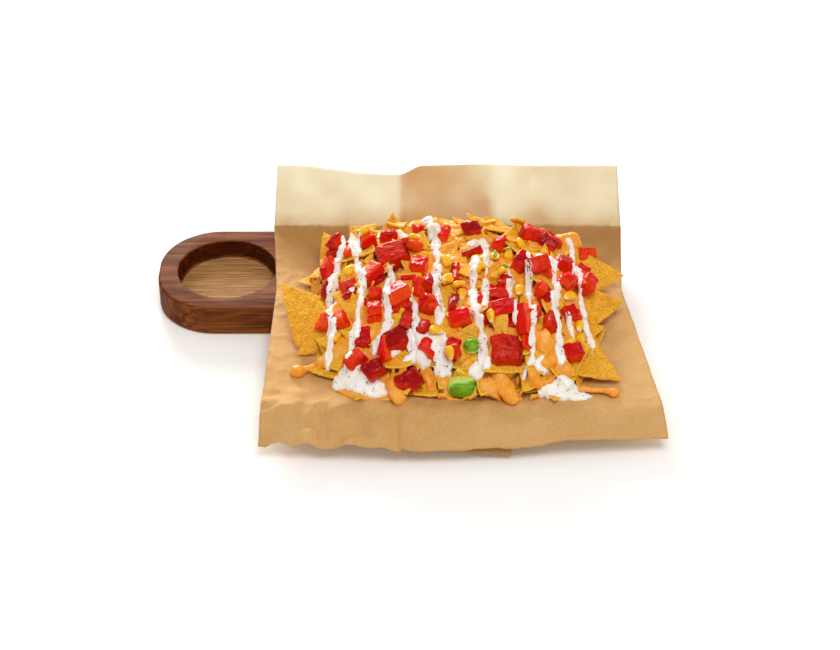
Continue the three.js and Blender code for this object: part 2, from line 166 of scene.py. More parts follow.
class Shells:
    """Many closed shells, and the named values of their points, gathered into one mesh."""

    def __init__(self):
        self.points, self.faces, self.values = [], [], {}
        self.count = 0

    def add(self, points, faces, **values):
        self.points.append(np.asarray(points, float))
        self.faces += [tuple(self.count + i for i in face) for face in faces]
        for name, value in values.items():
            given = np.broadcast_to(np.asarray(value, float), (len(points),))
            self.values.setdefault(name, []).append(given)
        self.count += len(points)

    def make(self, name, material):
        made = add_mesh(name, np.concatenate(self.points), self.faces, material)
        for key, parts in self.values.items():
            write_values(made, key, np.concatenate(parts))
        return made


def fractal(points, size, seed, octaves=3):
    """Smooth noise from about -1 to 1 at each point, with features of about this size."""
    shift = Vector((seed * 3.7, seed * 1.3, seed * 5.1))
    return np.array([noise.fractal(Vector(p) / size + shift, 1.0, 2.0, octaves) for p in points])


def flat_spots(x, y):
    """Points on the plane z = 0 from arrays of x and y."""
    return np.stack([x, y, 0 * x], axis=-1).reshape(-1, 3)


def bell(value, centre, half_width):
    """1 at the centre, falling smoothly to about 0 twice as far away as the half width."""
    return np.exp(-(((value - centre) / half_width) ** 2))


def smooth_step(value, low, high):
    """0 below low and 1 above high, with a smooth rise between."""
    share = np.clip((value - low) / (high - low), 0, 1)
    return share * share * (3 - 2 * share)


def grid_faces(columns, rows, first=0, closed=False):
    """Quads of a grid of points stored row by row. closed joins the last column to the first."""
    across = columns if closed else columns - 1
    return [
        (
            first + j * columns + i,
            first + j * columns + (i + 1) % columns,
            first + (j + 1) * columns + (i + 1) % columns,
            first + (j + 1) * columns + i,
        )
        for j in range(rows - 1)
        for i in range(across)
    ]


def closed_disc(segments, rings, upper, lower):
    """A closed disc-like solid. upper and lower give points for arrays of fractions and angles."""
    fractions = np.array([0.0] + [f for f in rings for _ in range(segments)])
    angles = np.array([0.0] + [2 * math.pi * i / segments for _ in rings for i in range(segments)])
    following = [(i, (i + 1) % segments) for i in range(segments)]
    faces = [(0, 1 + i, 1 + j) for i, j in following]
    faces += [face[::-1] for face in grid_faces(segments, len(rings), first=1, closed=True)]
    count = len(fractions)
    rim = count - segments
    faces += [tuple(count + i for i in reversed(face)) for face in faces]
    faces += [(count + rim + i, count + rim + j, rim + j, rim + i) for i, j in following]
    return np.concatenate([upper(fractions, angles), lower(fractions, angles)]), faces


def globe(segments, rings):
    """(turn from pole to pole, angle round them) of each point of a ball, and its faces."""
    turns = np.repeat(np.pi * np.arange(rings + 1) / rings, segments)
    angles = np.tile(2 * np.pi * np.arange(segments) / segments, rings + 1)
    return turns, angles, grid_faces(segments, rings + 1, closed=True)


def ball(radius, segments, rings):
    """A ball's points and faces."""
    turns, angles, faces = globe(segments, rings)
    round_axis = np.sin(turns) * np.cos(angles), np.sin(turns) * np.sin(angles)
    return radius * np.stack([*round_axis, -np.cos(turns)], axis=1), faces


# ---- materials ----
def colour(code):
    """Linear RGBA of an sRGB hex code."""
    parts = [int(code[i : i + 2], 16) / 255 for i in (0, 2, 4)]
    linear = [p / 12.92 if p <= 0.04045 else ((p + 0.055) / 1.055) ** 2.4 for p in parts]
    return (*linear, 1.0)


class Look:
    """A node material around one Principled shader."""

    def __init__(self, name, **sockets):
        self.material = bpy.data.materials.new(name)
        self.material.use_nodes = True
        self.tree = self.material.node_tree
        self.shader = self.tree.nodes["Principled BSDF"]
        for socket, value in sockets.items():
            self.shader.inputs[socket.replace("_", " ")].default_value = value
        self.place = self.tree.nodes.new("ShaderNodeTexCoord").outputs["Object"]

    def node(self, kind, inputs=None, **settings):
        """A node with these settings, and with each input linked to an output or set to a value."""
        made = self.tree.nodes.new(kind)
        for key, value in settings.items():
            setattr(made, key, value)
        for key, value in (inputs or {}).items():
            if isinstance(value, bpy.types.NodeSocket):
                self.tree.links.new(value, made.inputs[key])
            else:
                made.inputs[key].default_value = value
        return made

    def set(self, socket, output):
        self.tree.links.new(output, self.shader.inputs[socket])

    def soften(self, weight, *reach):
        """Lets light into the surface. reach is how far red, green and blue go in, in millimetres."""
        self.shader.inputs["Subsurface Weight"].default_value = weight
        self.shader.inputs["Subsurface Radius"].default_value = [r * MM for r in reach]
        self.shader.inputs["Subsurface Scale"].default_value = 1.0

    def stretched(self, x, y, z):
        """The object's coordinates, scaled along each axis."""
        return self.node("ShaderNodeMapping", {"Vector": self.place, "Scale": (x, y, z)}).outputs[0]

    def noise(self, size, detail=4.0, roughness=0.55, vector=None, distortion=0.0):
        """Noise from 0 to 1 with features of about this many millimetres."""
        inputs = {
            "Vector": vector or self.place,
            "Scale": 1 / (size * MM),
            "Detail": detail,
            "Roughness": roughness,
            "Distortion": distortion,
        }
        return self.node("ShaderNodeTexNoise", inputs).outputs["Fac"]

    def cells(self, size):
        """Distance from the middles of cells of about this many millimetres."""
        inputs = {"Vector": self.place, "Scale": 1 / (size * MM)}
        return self.node("ShaderNodeTexVoronoi", inputs).outputs["Distance"]

    def value(self, name):
        """The number that write_values gave each vertex."""
        return self.node("ShaderNodeAttribute", attribute_name=name).outputs["Fac"]

    def ramp(self, factor, *stops):
        """A colour ramp of (position, hex code) or (position, grey) stops."""
        made = self.node("ShaderNodeValToRGB", {"Fac": factor})
        points = made.color_ramp.elements
        while len(points) < len(stops):
            points.new(0.5)
        for point, (position, shade) in zip(points, stops):
            point.position = position
            point.color = colour(shade) if isinstance(shade, str) else (shade, shade, shade, 1)
        return made.outputs["Color"]

    def mix(self, factor, first, second, blend="MIX"):
        inputs = {0: factor, 6: first, 7: second}
        return self.node("ShaderNodeMix", inputs, data_type="RGBA", blend_type=blend).outputs[2]

    def maths(self, operation, first, second):
        return self.node("ShaderNodeMath", {0: first, 1: second}, operation=operation).outputs[0]

    def bump(self, height, depth, strength=1.0):
        """Relief of this many millimetres."""
        inputs = {"Height": height, "Distance": depth * MM, "Strength": strength}
        self.set("Normal", self.node("ShaderNodeBump", inputs).outputs[0])


def walnut_look():
    """Oiled walnut. Its recess's floor is painted paler, as painted light, and its wall darker, as painted
    shade.
    """
    look = Look("walnut", Specular_IOR_Level=0.06)
    along = look.stretched(0.09, 1.0, 0.9)
    bands = look.noise(9, 3, 0.5, along, 1.2)
    fibres = look.noise(1.3, 6, 0.75, look.stretched(0.03, 1.0, 1.0))
    pores = look.noise(0.5, 2, 0.5, look.stretched(0.05, 1.0, 1.0))
    tone = look.ramp(bands, (0.25, "5A3018"), (0.45, "80522E"), (0.6, "98683E"), (0.8, "684022"))
    tone = look.mix(0.85, tone, look.ramp(fibres, (0.34, "34180C"), (0.66, "CC9C64")), "OVERLAY")
    # painted light: the paler tone that the recess floor gets, as if light fell on it
    pale = look.ramp(fibres, (0.33, "8A5A2A"), (0.5, "B88650"), (0.66, "DCB67A"))
    tone = look.mix(look.maths("MULTIPLY", look.value("painted_light_floor"), 0.75), tone, pale)
    # painted shade: the recess wall is darkened
    tone = look.mix(look.maths("MULTIPLY", look.value("painted_shade_wall"), 0.8), tone, colour("965A40"), "MULTIPLY")
    dark = look.ramp(pores, (0.3, 0.35), (0.42, 1.0))
    look.set("Base Color", look.mix(0.7, tone, dark, "MULTIPLY"))
    look.set("Roughness", look.ramp(fibres, (0.2, 0.65), (0.8, 0.5)))
    look.bump(look.mix(0.5, fibres, pores), 0.25, 0.5)
    return look.material


def paper_look():
    """Kraft paper. clarity is how much of the light comes through it, and a second value darkens it where it
    is stained with grease and where shade is painted on.
    """
    look = Look("kraft_paper", Roughness=0.8)
    pulp = look.noise(2.2, 5, 0.65)
    fibre = look.noise(0.8, 4, 0.7, look.stretched(0.3, 1.0, 1.0))
    cloud = look.noise(45, 3, 0.5)
    tone = look.ramp(cloud, (0.3, "D29C58"), (0.5, "DAA662"), (0.7, "E0B070"))
    tone = look.mix(0.3, tone, look.ramp(pulp, (0.3, "C08A46"), (0.7, "E2BA7C")))
    tone = look.mix(0.12, tone, look.ramp(fibre, (0.35, 0.3), (0.65, 0.75)), "OVERLAY")
    # darker where grease stains it and where shade is painted on: near the heap and in the band before the
    # fold
    tone = look.mix(look.value("grease_and_painted_shade"), tone, colour("C8B498"), "MULTIPLY")
    look.set("Base Color", tone)
    look.bump(look.mix(0.5, fibre, pulp), 0.12, 0.5)
    clarity = look.value("clarity")
    through = look.mix(look.ramp(clarity, (0.3, 0.15), (0.6, 1.0)), tone, colour("F0F4E8"))
    see_through = look.node("ShaderNodeBsdfTranslucent", {"Color": through})
    blend = look.node("ShaderNodeMixShader", {"Fac": clarity})
    output = look.tree.nodes["Material Output"]
    look.tree.links.new(look.shader.outputs[0], blend.inputs[1])
    look.tree.links.new(see_through.outputs[0], blend.inputs[2])
    look.tree.links.new(blend.outputs[0], output.inputs["Surface"])
    return look.material


def chip_look():
    """Golden corn chip. The value edge is 1 on its cut rim."""
    look = Look("corn_chip", Roughness=0.6, Specular_IOR_Level=0.3)
    look.soften(0.12, 1.6, 0.9, 0.3)
    toast = look.noise(11, 4, 0.6)
    grain = look.noise(1.9, 5, 0.75)
    specks = look.noise(1.3, 1, 0.4)
    tone = look.ramp(toast, (0.3, "DA9000"), (0.52, "ECA800"), (0.72, "F4B40C"))
    tone = look.mix(0.6, tone, look.ramp(grain, (0.38, "C47800"), (0.62, "FFC838")))
    tone = look.mix(look.ramp(specks, (0.66, 0.0), (0.72, 0.8)), tone, colour("A86008"))
    tone = look.mix(look.maths("MULTIPLY", look.value("edge"), 0.7), tone, colour("F8C83C"))
    look.set("Base Color", tone)
    look.bump(look.mix(0.4, grain, look.cells(3.2)), 0.35, 0.6)
    return look.material


def cheese_look():
    """Warm orange nacho cheese, glossy and uneven."""
    look = Look("melted_cheese", Roughness=0.36, Specular_IOR_Level=0.35)
    look.soften(0.25, 3, 1.4, 0.5)
    flow = look.noise(14, 3, 0.5, distortion=0.8)
    fine = look.noise(1.6, 4, 0.6)
    tone = look.ramp(flow, (0.3, "E89008"), (0.5, "F49E20"), (0.7, "FCBA58"))
    tone = look.mix(0.2, tone, look.ramp(fine, (0.35, "E88408"), (0.65, "FABC50")))
    look.set("Base Color", tone)
    look.bump(look.noise(2.2, 4, 0.6), 0.6, 0.6)
    return look.material


def cream_look():
    """Sour cream, a little warmer where it is smeared."""
    look = Look("sour_cream", Roughness=0.34, Specular_IOR_Level=0.35)
    look.soften(0.4, 2, 1.6, 1.2)
    smear = look.noise(6, 3, 0.5)
    look.set("Base Color", look.ramp(smear, (0.3, "F6EADC"), (0.5, "FBF4EA"), (0.75, "FDFAF6")))
    look.bump(look.mix(0.5, look.noise(0.9, 3, 0.6), look.noise(2.6, 3, 0.5)), 0.6, 0.6)
    return look.material


def tomato_look():
    """Diced tomato. The value skin is 1 on the outside of the fruit, and tint runs from 0 to 1."""
    look = Look("tomato", Specular_IOR_Level=0.15)
    look.soften(0.12, 3.5, 0.7, 0.3)
    cloud = look.maths("SUBTRACT", look.maths("MULTIPLY", look.noise(5, 3, 0.5), 1.2), 0.6)
    tint = look.maths("ADD", look.value("tint"), cloud)
    skin = look.ramp(tint, (0.1, "940000"), (0.5, "CA0400"), (0.9, "E01000"))
    flesh = look.ramp(tint, (0.1, "C00A00"), (0.5, "DC2200"), (0.9, "EE4A08"))
    pulp = look.noise(2.0, 4, 0.6)
    fibres = look.cells(1.8)
    flesh = look.mix(look.ramp(pulp, (0.45, 0.0), (0.75, 0.4)), flesh, colour("F06818"))
    flesh = look.mix(look.ramp(fibres, (0.5, 0.0), (0.9, 0.35)), flesh, colour("C81806"))
    look.set("Base Color", look.mix(look.value("skin"), flesh, skin))
    look.set("Roughness", look.ramp(look.value("skin"), (0.0, 0.36), (1.0, 0.25)))
    look.bump(look.mix(look.value("skin"), pulp, look.noise(5, 2, 0.4)), 0.3, 0.4)
    return look.material


def corn_look():
    """Sweetcorn. The value tip is 1 at the pale end that grew on the cob."""
    look = Look("sweetcorn", Roughness=0.24, Specular_IOR_Level=0.35)
    look.soften(0.25, 3, 1.8, 0.4)
    tone = look.ramp(look.noise(4, 3, 0.5), (0.3, "F0A800"), (0.6, "F6BE10"), (0.8, "FACE3C"))
    look.set("Base Color", look.mix(look.value("tip"), tone, colour("F8E6A8")))
    look.bump(look.noise(1.5, 2, 0.5), 0.15, 0.4)
    return look.material


def pepper_look():
    """Green pepper. The value skin is 1 on the outside, where it is dark and glossy."""
    look = Look("green_pepper", Roughness=0.24, Specular_IOR_Level=0.4)
    look.soften(0.2, 1.2, 2, 0.4)
    streaks = look.noise(2.4, 3, 0.5, look.stretched(0.35, 1.0, 1.0))
    skin = look.ramp(streaks, (0.3, "588C04"), (0.55, "70A40A"), (0.8, "98C420"))
    flesh = look.ramp(look.noise(2, 4, 0.6), (0.3, "B4CC38"), (0.7, "DCE67C"))
    look.set("Base Color", look.mix(look.value("skin"), flesh, skin))
    look.bump(look.noise(1.8, 3, 0.5), 0.2, 0.4)
    return look.material


def core_look():
    """The shaded inside of the heap, seen between chips: broken chip and cheese."""
    look = Look("heap_inside", Roughness=0.6)
    tone = look.ramp(look.noise(5, 4, 0.6), (0.3, "C87818"), (0.55, "E09A2C"), (0.8, "ECAE40"))
    look.set("Base Color", tone)
    look.bump(look.noise(3, 5, 0.6), 0.8, 0.7)
    return look.material


def speck_look():
    """Ground black pepper and dark herbs."""
    look = Look("pepper_specks", Roughness=0.6)
    look.set("Base Color", look.ramp(look.noise(3, 1, 0.5), (0.4, "1E1A14"), (0.62, "3A3A1C")))
    return look.material


WALNUT = walnut_look()
PAPER = paper_look()
CHIP = chip_look()
CHEESE = cheese_look()
CREAM = cream_look()
TOMATO = tomato_look()
CORN_LOOK = corn_look()
PEPPER = pepper_look()
CORE = core_look()
SPECK = speck_look()


# ---- board ----
EDGE_ROUND = 2.2


def line(x0, y0, x1, y1, steps):
    """Points along a straight line, without its end."""
    return [(x0 + (x1 - x0) * k / steps, y0 + (y1 - y0) * k / steps) for k in range(steps)]


def arc(x, y, radius, start, end, steps):
    """Points round a centre between two angles in degrees, without the last."""
    turns = [math.radians(start + (end - start) * k / steps) for k in range(steps)]
    return [(x + radius * math.cos(turn), y + radius * math.sin(turn)) for turn in turns]


def plate_outline(inset):
    """The outline of plate and tongue, anticlockwise from the plate's front left corner."""
    right, back = BOARD_HIGH[0] - inset, PLATE_BACK - inset
    left, front = PLATE_LEFT + inset, PLATE_FRONT + inset
    corner, radius = PLATE_CORNER - inset, TONGUE_CORNER - inset
    tongue_x = BOARD_LOW[0] + inset + radius
    tongue_front = PLATE_BACK - TONGUE_WIDTH + inset
    return (
        line(left + corner, front, right - corner, front, 20)
        + arc(right - corner, front + corner, corner, -90, 0, 10)
        + line(right, front + corner, right, back - corner, 20)
        + arc(right - corner, back - corner, corner, 0, 90, 10)
        + line(right - corner, back, tongue_x, back, 28)
        + arc(tongue_x, back - radius, radius, 90, 180, 36)
        + arc(tongue_x, tongue_front + radius, radius, 180, 270, 36)
        + line(tongue_x, tongue_front, left, tongue_front, 8)
        + line(left, tongue_front, left, front + corner, 12)
        + arc(left + corner, front + corner, corner, 180, 270, 10)
    )


def capped(points, count):
    """Points in stacked rings of this many, and their faces with a cap at each end."""
    faces = grid_faces(count, len(points) // count, closed=True)
    faces.append(tuple(reversed(range(count))))
    faces.append(tuple(range(len(points) - count, len(points))))
    return points, faces


def board_blank():
    """The board without its recess, as rings of outline joined from the underside to the top."""
    edge = arc(EDGE_ROUND, -EDGE_ROUND, EDGE_ROUND, 180, 90, 6) + [(EDGE_ROUND, 0)]
    layers = [(inset, BOARD_LOW[2] - height) for inset, height in reversed(edge)]
    layers += [(inset, BOARD_TOP + height) for inset, height in edge]
    points = [(*point, height) for inset, height in layers for point in plate_outline(inset)]
    return capped(points, len(points) // len(layers))


def recess_cutter():
    """The recess, with its rounded foot and lip, turned about its middle."""
    floor, foot, lip = BOARD_TOP - RECESS_DEPTH, RECESS_RADIUS - RECESS_FILLET, RECESS_RADIUS + RECESS_LIP
    middle, above = 0.01, BOARD_TOP + 4
    profile = [(radius, floor) for radius in (middle, 12, 24)]
    profile += arc(foot, floor + RECESS_FILLET, RECESS_FILLET, -90, 0, 6)
    profile.append((RECESS_RADIUS, floor + RECESS_FILLET))
    profile += arc(lip, BOARD_TOP - RECESS_LIP, RECESS_LIP, 180, 90, 4)
    profile += [(lip, BOARD_TOP), (lip, above), (middle, above)]
    circle = arc(0, 0, 1, 0, 360, 96)
    points = [(TONGUE_X + r * c, TONGUE_Y + r * s, z) for r, z in profile for c, s in circle]
    return capped(points, len(circle))


def make_board():
    """The board, with its recess cut out and its floor and wall marked for painted light and painted shade
    in the walnut's look.
    """
    board = add_mesh("serving_board", *board_blank(), WALNUT)
    cutter = add_mesh("cutter", *recess_cutter())
    cut = board.modifiers.new("recess", "BOOLEAN")
    cut.operation, cut.solver, cut.object = "DIFFERENCE", "EXACT", cutter
    apply_modifiers(board)
    bpy.data.objects.remove(cutter)
    board.data.set_sharp_from_angle(angle=math.radians(40))
    points = points_of(board)
    out = np.hypot(points[:, 0] - TONGUE_X, points[:, 1] - TONGUE_Y)
    depth = BOARD_TOP - points[:, 2]
    low = depth > RECESS_DEPTH - 1
    # the recess floor, painted paler as painted light
    write_values(board, "painted_light_floor", low & (out < RECESS_RADIUS - 2))
    # the recess wall, painted darker as painted shade
    write_values(board, "painted_shade_wall", ~low & (depth > 0.6) & (out < RECESS_RADIUS + 2))
    return finish_piece(board, "walnut", "board")


# ---- paper liner ----
PAPER_FOLD_Y = 103.5
PAPER_KINK_Y = 28
FLAP_LENGTH = 50
FLAP_ANGLE = math.radians(45)
FOLD_SOFTNESS = 2.5
OVERHANG = 29
OVERHANG_DROP = 13
CREASE_X = -37
SHEET_THICKNESS = 0.3


def paper_edges(y):
    """The x of the sheet's left and right edges, which are each kinked at PAPER_KINK_Y."""
    behind, before = np.maximum(y - PAPER_KINK_Y, 0), np.maximum(PAPER_KINK_Y - y, 0)
    return -130 - 0.08 * behind - 0.022 * before, 120 + 0.075 * behind + 0.13 * before


def flap_folds(x):
    """How far the raised flap stands off its plane along its length."""
    rising = np.interp(x, [-134, -100, -39, 26, 60, 130], [1.5, 0, 0, 4.5, 0, -1])
    return rising + 0.8 * np.sin(x / 13.0)


def paper_points(columns, rows):
    """The liner's upper skin, row by row from the front edge to the flap's top."""
    across = np.linspace(0, 1, columns)
    left, right = paper_edges(PAPER_FOLD_Y)
    top_x = left + across * (right - left)
    dip = 7 * smooth_step(top_x, -125, -50) * (1 - smooth_step(top_x, -43, -24))
    flap = FLAP_LENGTH - dip
    reach = OVERHANG + 4 * bell(across, 0.36, 0.2) - 22 * np.maximum(across - 0.62, 0)
    points = []
    for row in range(rows):
        share = row / (rows - 1)
        start = PLATE_FRONT - reach - PAPER_FOLD_Y
        distance = start + share * (flap - start)
        bend = FOLD_SOFTNESS * np.logaddexp(0, distance / FOLD_SOFTNESS)
        y = PAPER_FOLD_Y + distance - bend * (1 - math.cos(FLAP_ANGLE))
        z = PAPER_TOP + bend * math.sin(FLAP_ANGLE)
        low, high = paper_edges(np.where(distance > 0, PAPER_FOLD_Y - 0.5 * distance, y))
        x = low + across * (high - low)
        past = np.clip((PLATE_FRONT - y) / reach, 0, 1)
        z = z - OVERHANG_DROP * past**1.3 * (1 - 0.25 * bell(x, 90, 40))
        on_flap = smooth_step(distance, 4, 22)
        fold = flap_folds(x) * on_flap
        y = y - fold * math.sin(FLAP_ANGLE)
        z = z + fold * math.cos(FLAP_ANGLE)
        points.append(np.stack([x, y, z + paper_wrinkles(x, y, past) * (1 - on_flap)], axis=1))
    return np.concatenate(points)


def paper_wrinkles(x, y, past):
    """Dents and creases of the flat part. On the board they only rise."""
    clear = np.maximum(np.abs(x) / 112, np.abs(y + 3) / 104)
    open_part = smooth_step(clear, 0.82, 1.0)
    spots = flat_spots(x, y)
    soft = fractal(spots, 34, 3, 2)
    ridges = 1 - np.abs(fractal(spots, 22, 11, 2)) * 3.2
    lift = 1.1 * np.maximum(soft, 0) + 1.0 * np.maximum(ridges, 0) ** 2
    from_crease = x - CREASE_X - 0.8 * np.sin(y / 9)
    crease = 2.4 * np.exp(-np.abs(from_crease) / 2.6)
    hollow = -3.6 * np.exp(-np.abs(from_crease + 1) / 12) * (from_crease < -1)
    dents = -3.0 * bell(x, -82, 16) * bell(y, -124, 9)
    crumpled = smooth_step(-x, 36, 56) * smooth_step(-y, 78, 98)
    small = 2 * np.maximum(fractal(spots, 11, 29, 2), 0)
    folds = crumpled * (4 * np.abs(fractal(spots, 26, 17, 2)) + small)
    front_left = smooth_step(-x, 34, 62) * smooth_step(-y, 97, 110)
    folds = folds + 7 * front_left * np.abs(fractal(spots, 21, 37, 2))
    return (lift + crease + folds) * open_part + (dents + hollow + 1.2 * soft) * past


def paper_grease_and_painted_shade(top):
    """Where the paper is darker: grease and painted contact shadow in patches round the heap, and painted
    shadow of the flap evenly in the band behind it.
    """
    x, y = top[:, 0], top[:, 1]
    near = 1 - smooth_step(heap_fraction(x, y), 1.0, 1.28)
    patches = np.clip(0.5 + 1.4 * fractal(top, 19, 7, 3), 0, 1)
    # painted shade: the band just in front of the fold, darkened as if it lay in the raised flap's shadow
    behind = smooth_step(y, 30, 75) * (1 - smooth_step(y, PAPER_FOLD_Y - 1, PAPER_FOLD_Y + 4))
    return np.clip(0.75 * near * patches + 0.8 * behind, 0, 1)


def thicken(piece, offset):
    """Gives a sheet its thickness, below it where offset is -1 and to both sides of it where it is 0."""
    thick = piece.modifiers.new("thickness", "SOLIDIFY")
    thick.thickness, thick.offset = SHEET_THICKNESS * MM, offset
    return apply_modifiers(piece)


def paper_clarity(top):
    """How much light comes through: most in the raised flap, less where the flap is doubled."""
    x, y = top[:, 0], top[:, 1]
    doubled = smooth_step(x, -44, -39) * np.interp(x, (-40, 12, 24, 33), (1, 0.8, 0.65, 0))
    behind = y - PAPER_FOLD_Y
    raised = smooth_step(behind, 0, 2.2) * (0.84 + 0.16 * smooth_step(behind, 2, 15))
    cloudy = 1 + 0.16 * fractal(top, 26, 13, 3)
    hanging = smooth_step(-y, -PLATE_FRONT, -PLATE_FRONT + 12)
    return 0.03 + 0.08 * hanging + raised * (0.65 - 0.17 * doubled) * cloudy


def make_paper():
    """The liner: a flat sheet with a raised flap behind and an overhang in front."""
    columns, rows = 130, 150
    top = paper_points(columns, rows)
    sheet = add_mesh("paper_liner_sheet", top, grid_faces(columns, rows), PAPER)
    write_values(sheet, "clarity", paper_clarity(top))
    write_values(sheet, "grease_and_painted_shade", paper_grease_and_painted_shade(top))
    thicken(sheet, -1)
    return finish_piece(sheet, "kraft_paper", "paper_liner")


def make_tuck():
    """The pleat that hangs under the front overhang, from the crease to the right."""
    columns, rows = 40, 24
    points = []
    for row in range(rows):
        along = row / (rows - 1)
        for column in range(columns):
            across = column / (columns - 1)
            x = CREASE_X + 72 * across
            front_z = (PAPER_TOP - OVERHANG_DROP) * (1 - across) + 3.8 * across
            y = PLATE_FRONT - 28 + 21 * along
            sag = 1.2 * math.sin(math.pi * along) * math.sin(5 * across)
            points.append((x, y, front_z + (PAPER_TOP - 2.4 - front_z) * along - sag))
    tuck = add_mesh("paper_pleat", points, grid_faces(columns, rows), PAPER)
    write_values(tuck, "clarity", np.full(len(points), 0.3))
    write_values(tuck, "grease_and_painted_shade", np.zeros(len(points)))
    thicken(tuck, 0)
    return finish_piece(tuck, "kraft_paper")


# ---- the heap's surface ----
def heap_reach(angle):
    """How far the heap's rim is from its middle in each direction."""
    u = np.abs(np.cos(angle) / (HEAP_LENGTH / 2)) ** 4
    v = np.abs(np.sin(angle) / (HEAP_WIDTH / 2)) ** 4
    waves = 1 + 0.022 * np.sin(5 * angle + 0.6) + 0.018 * np.sin(9 * angle + 2) + 0.012 * np.sin(14 * angle)
    return waves * (u + v) ** -0.25


def heap_place(angle, reach):
    """x and y of a place this far from the heap's middle."""
    return reach * np.cos(angle), HEAP_CENTRE_Y + reach * np.sin(angle)


def heap_fraction(x, y):
    """0 in the heap's middle and 1 on its rim."""
    back = y - HEAP_CENTRE_Y
    return np.hypot(x, back) / heap_reach(np.arctan2(back, x))


def heap_top(x, y):
    """Height of the CAD heap's surface, as the part's source works it out."""
    fall = 1 - np.minimum(heap_fraction(x, y), 1) ** 4
    rise = HEAP_HEIGHT * fall**0.8 * (1 + 0.2 * (y - HEAP_CENTRE_Y) / HEAP_WIDTH)
    lumps = 1.3 * np.sin(x / 7 + 1.3 * np.sin(y / 17)) + 1.2 * np.sin(y / 8 + 1.1 * np.sin(x / 13))
    return HEAP_FLOOR + 1.2 + rise + lumps * fall


def rim_distance(angle, height):
    """How far from the heap's middle its side stands this high above the liner."""
    reach = np.linspace(1, 0.3, 141) * heap_reach(angle)
    return reach[np.argmax(heap_top(*heap_place(angle, reach)) >= HEAP_FLOOR + height)]


class Ground:
    """What lies under the next topping: the highest of the meshes added so far."""

    def __init__(self):
        self.trees = []

    def add(self, piece):
        points = [Vector(p) for p in points_of(piece)]
        faces = [tuple(polygon.vertices) for polygon in piece.data.polygons]
        self.trees.append(BVHTree.FromPolygons(points, faces))

    def height(self, x, y):
        found = PAPER_TOP
        for tree in self.trees:
            hit = tree.ray_cast(Vector((x, y, 200)), Vector((0, 0, -1)))[0]
            if hit is not None:
                found = max(found, hit.z)
        return found

    def normal(self, x, y, step=3.0):
        slope_x = (self.height(x - step, y) - self.height(x + step, y)) / (2 * step)
        slope_y = (self.height(x, y - step) - self.height(x, y + step)) / (2 * step)
        return Vector((slope_x, slope_y, 1)).normalized()


ground = Ground()


def settle(piece, slot, *nodes):
    """Finishes a piece that later toppings lie on."""
    ground.add(piece)
    return finish_piece(piece, slot, *nodes)


def tipped(rng, x, y, sway, forward=0.0):
    """The ground's upward direction, tipped at random by up to sway and also forward."""
    tip = Vector((rng.uniform(-sway, sway), rng.uniform(-sway - forward, sway - forward), 0))
    return (ground.normal(x, y) + tip).normalized()


def lie_on(points, x, y, normal, turn, lift):
    """Turns points about Z, leans them to the normal and sets them on the ground at x, y."""
    lean = Vector((0, 0, 1)).rotation_difference(normal).to_matrix()
    spin = Matrix.Rotation(math.radians(turn), 3, "Z")
    seat = np.array([x, y, ground.height(x, y) + lift])
    return points @ np.array(lean @ spin).T + seat


def turned(lean, fall, turn):
    """A turn about Z, then a fall about Y, then a lean about X, in degrees."""
    about_x = Matrix.Rotation(math.radians(lean), 3, "X")
    about_y = Matrix.Rotation(math.radians(fall), 3, "Y")
    return np.array(about_x @ about_y @ Matrix.Rotation(math.radians(turn), 3, "Z"))


def nodes_named(start):
    """The CAD nodes whose names start like this, numbered from 1."""
    return enumerate(sorted(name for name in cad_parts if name.startswith(start)), 1)


def copy_of_node(name, piece_name, material):
    """A new object with the CAD node's shape, its shared vertices merged."""
    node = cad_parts[name]
    points, index = np.unique(np.round(points_of(node), 3), axis=0, return_inverse=True)
    index = index.ravel().tolist()
    faces = [tuple(index[v] for v in polygon.vertices) for polygon in node.data.polygons]
    return add_mesh(piece_name, points, [face for face in faces if len(set(face)) == len(face)], material)


def make_core():
    """The inside of the heap: its CAD shape, shrunk so that chips and cheese cover it."""
    inset, sink = 0.93, 5.5

    def at(fraction, angle, height):
        x, y = heap_place(angle, inset * fraction * heap_reach(angle))
        return np.stack([x, y, height], axis=1)

    def upper(fraction, angle):
        tops = heap_top(*heap_place(angle, fraction * heap_reach(angle))) - sink
        points = at(fraction, angle, np.maximum(tops, HEAP_FLOOR))
        points[:, 2] += 1.6 * fractal(points, 9, 5) * (fraction < 0.95)
        points[:, 2] = np.maximum(points[:, 2], HEAP_FLOOR)
        return points

    def lower(fraction, angle):
        return at(fraction, angle, 0 * angle + HEAP_FLOOR - 0.2)

    rings = [k / 24 for k in range(1, 25)]
    core = add_mesh("heap_core", *closed_disc(120, rings, upper, lower), CORE)
    return settle(core, "chips_and_cheese", "nacho_heap")


# ---- chips ----
def chip_reach(angle, side):
    """How far a triangle's edge is from its middle, with one corner along +X and its corners blunted."""
    sharp = side / math.sqrt(3)
    sector = 2 * math.pi / 3
    to_middle = (angle - sector / 2) % sector - sector / 2
    edge = sharp / 2 / np.cos(to_middle)
    power = 14.0
    return (edge**-power + (0.95 * sharp) ** -power) ** (-1 / power)


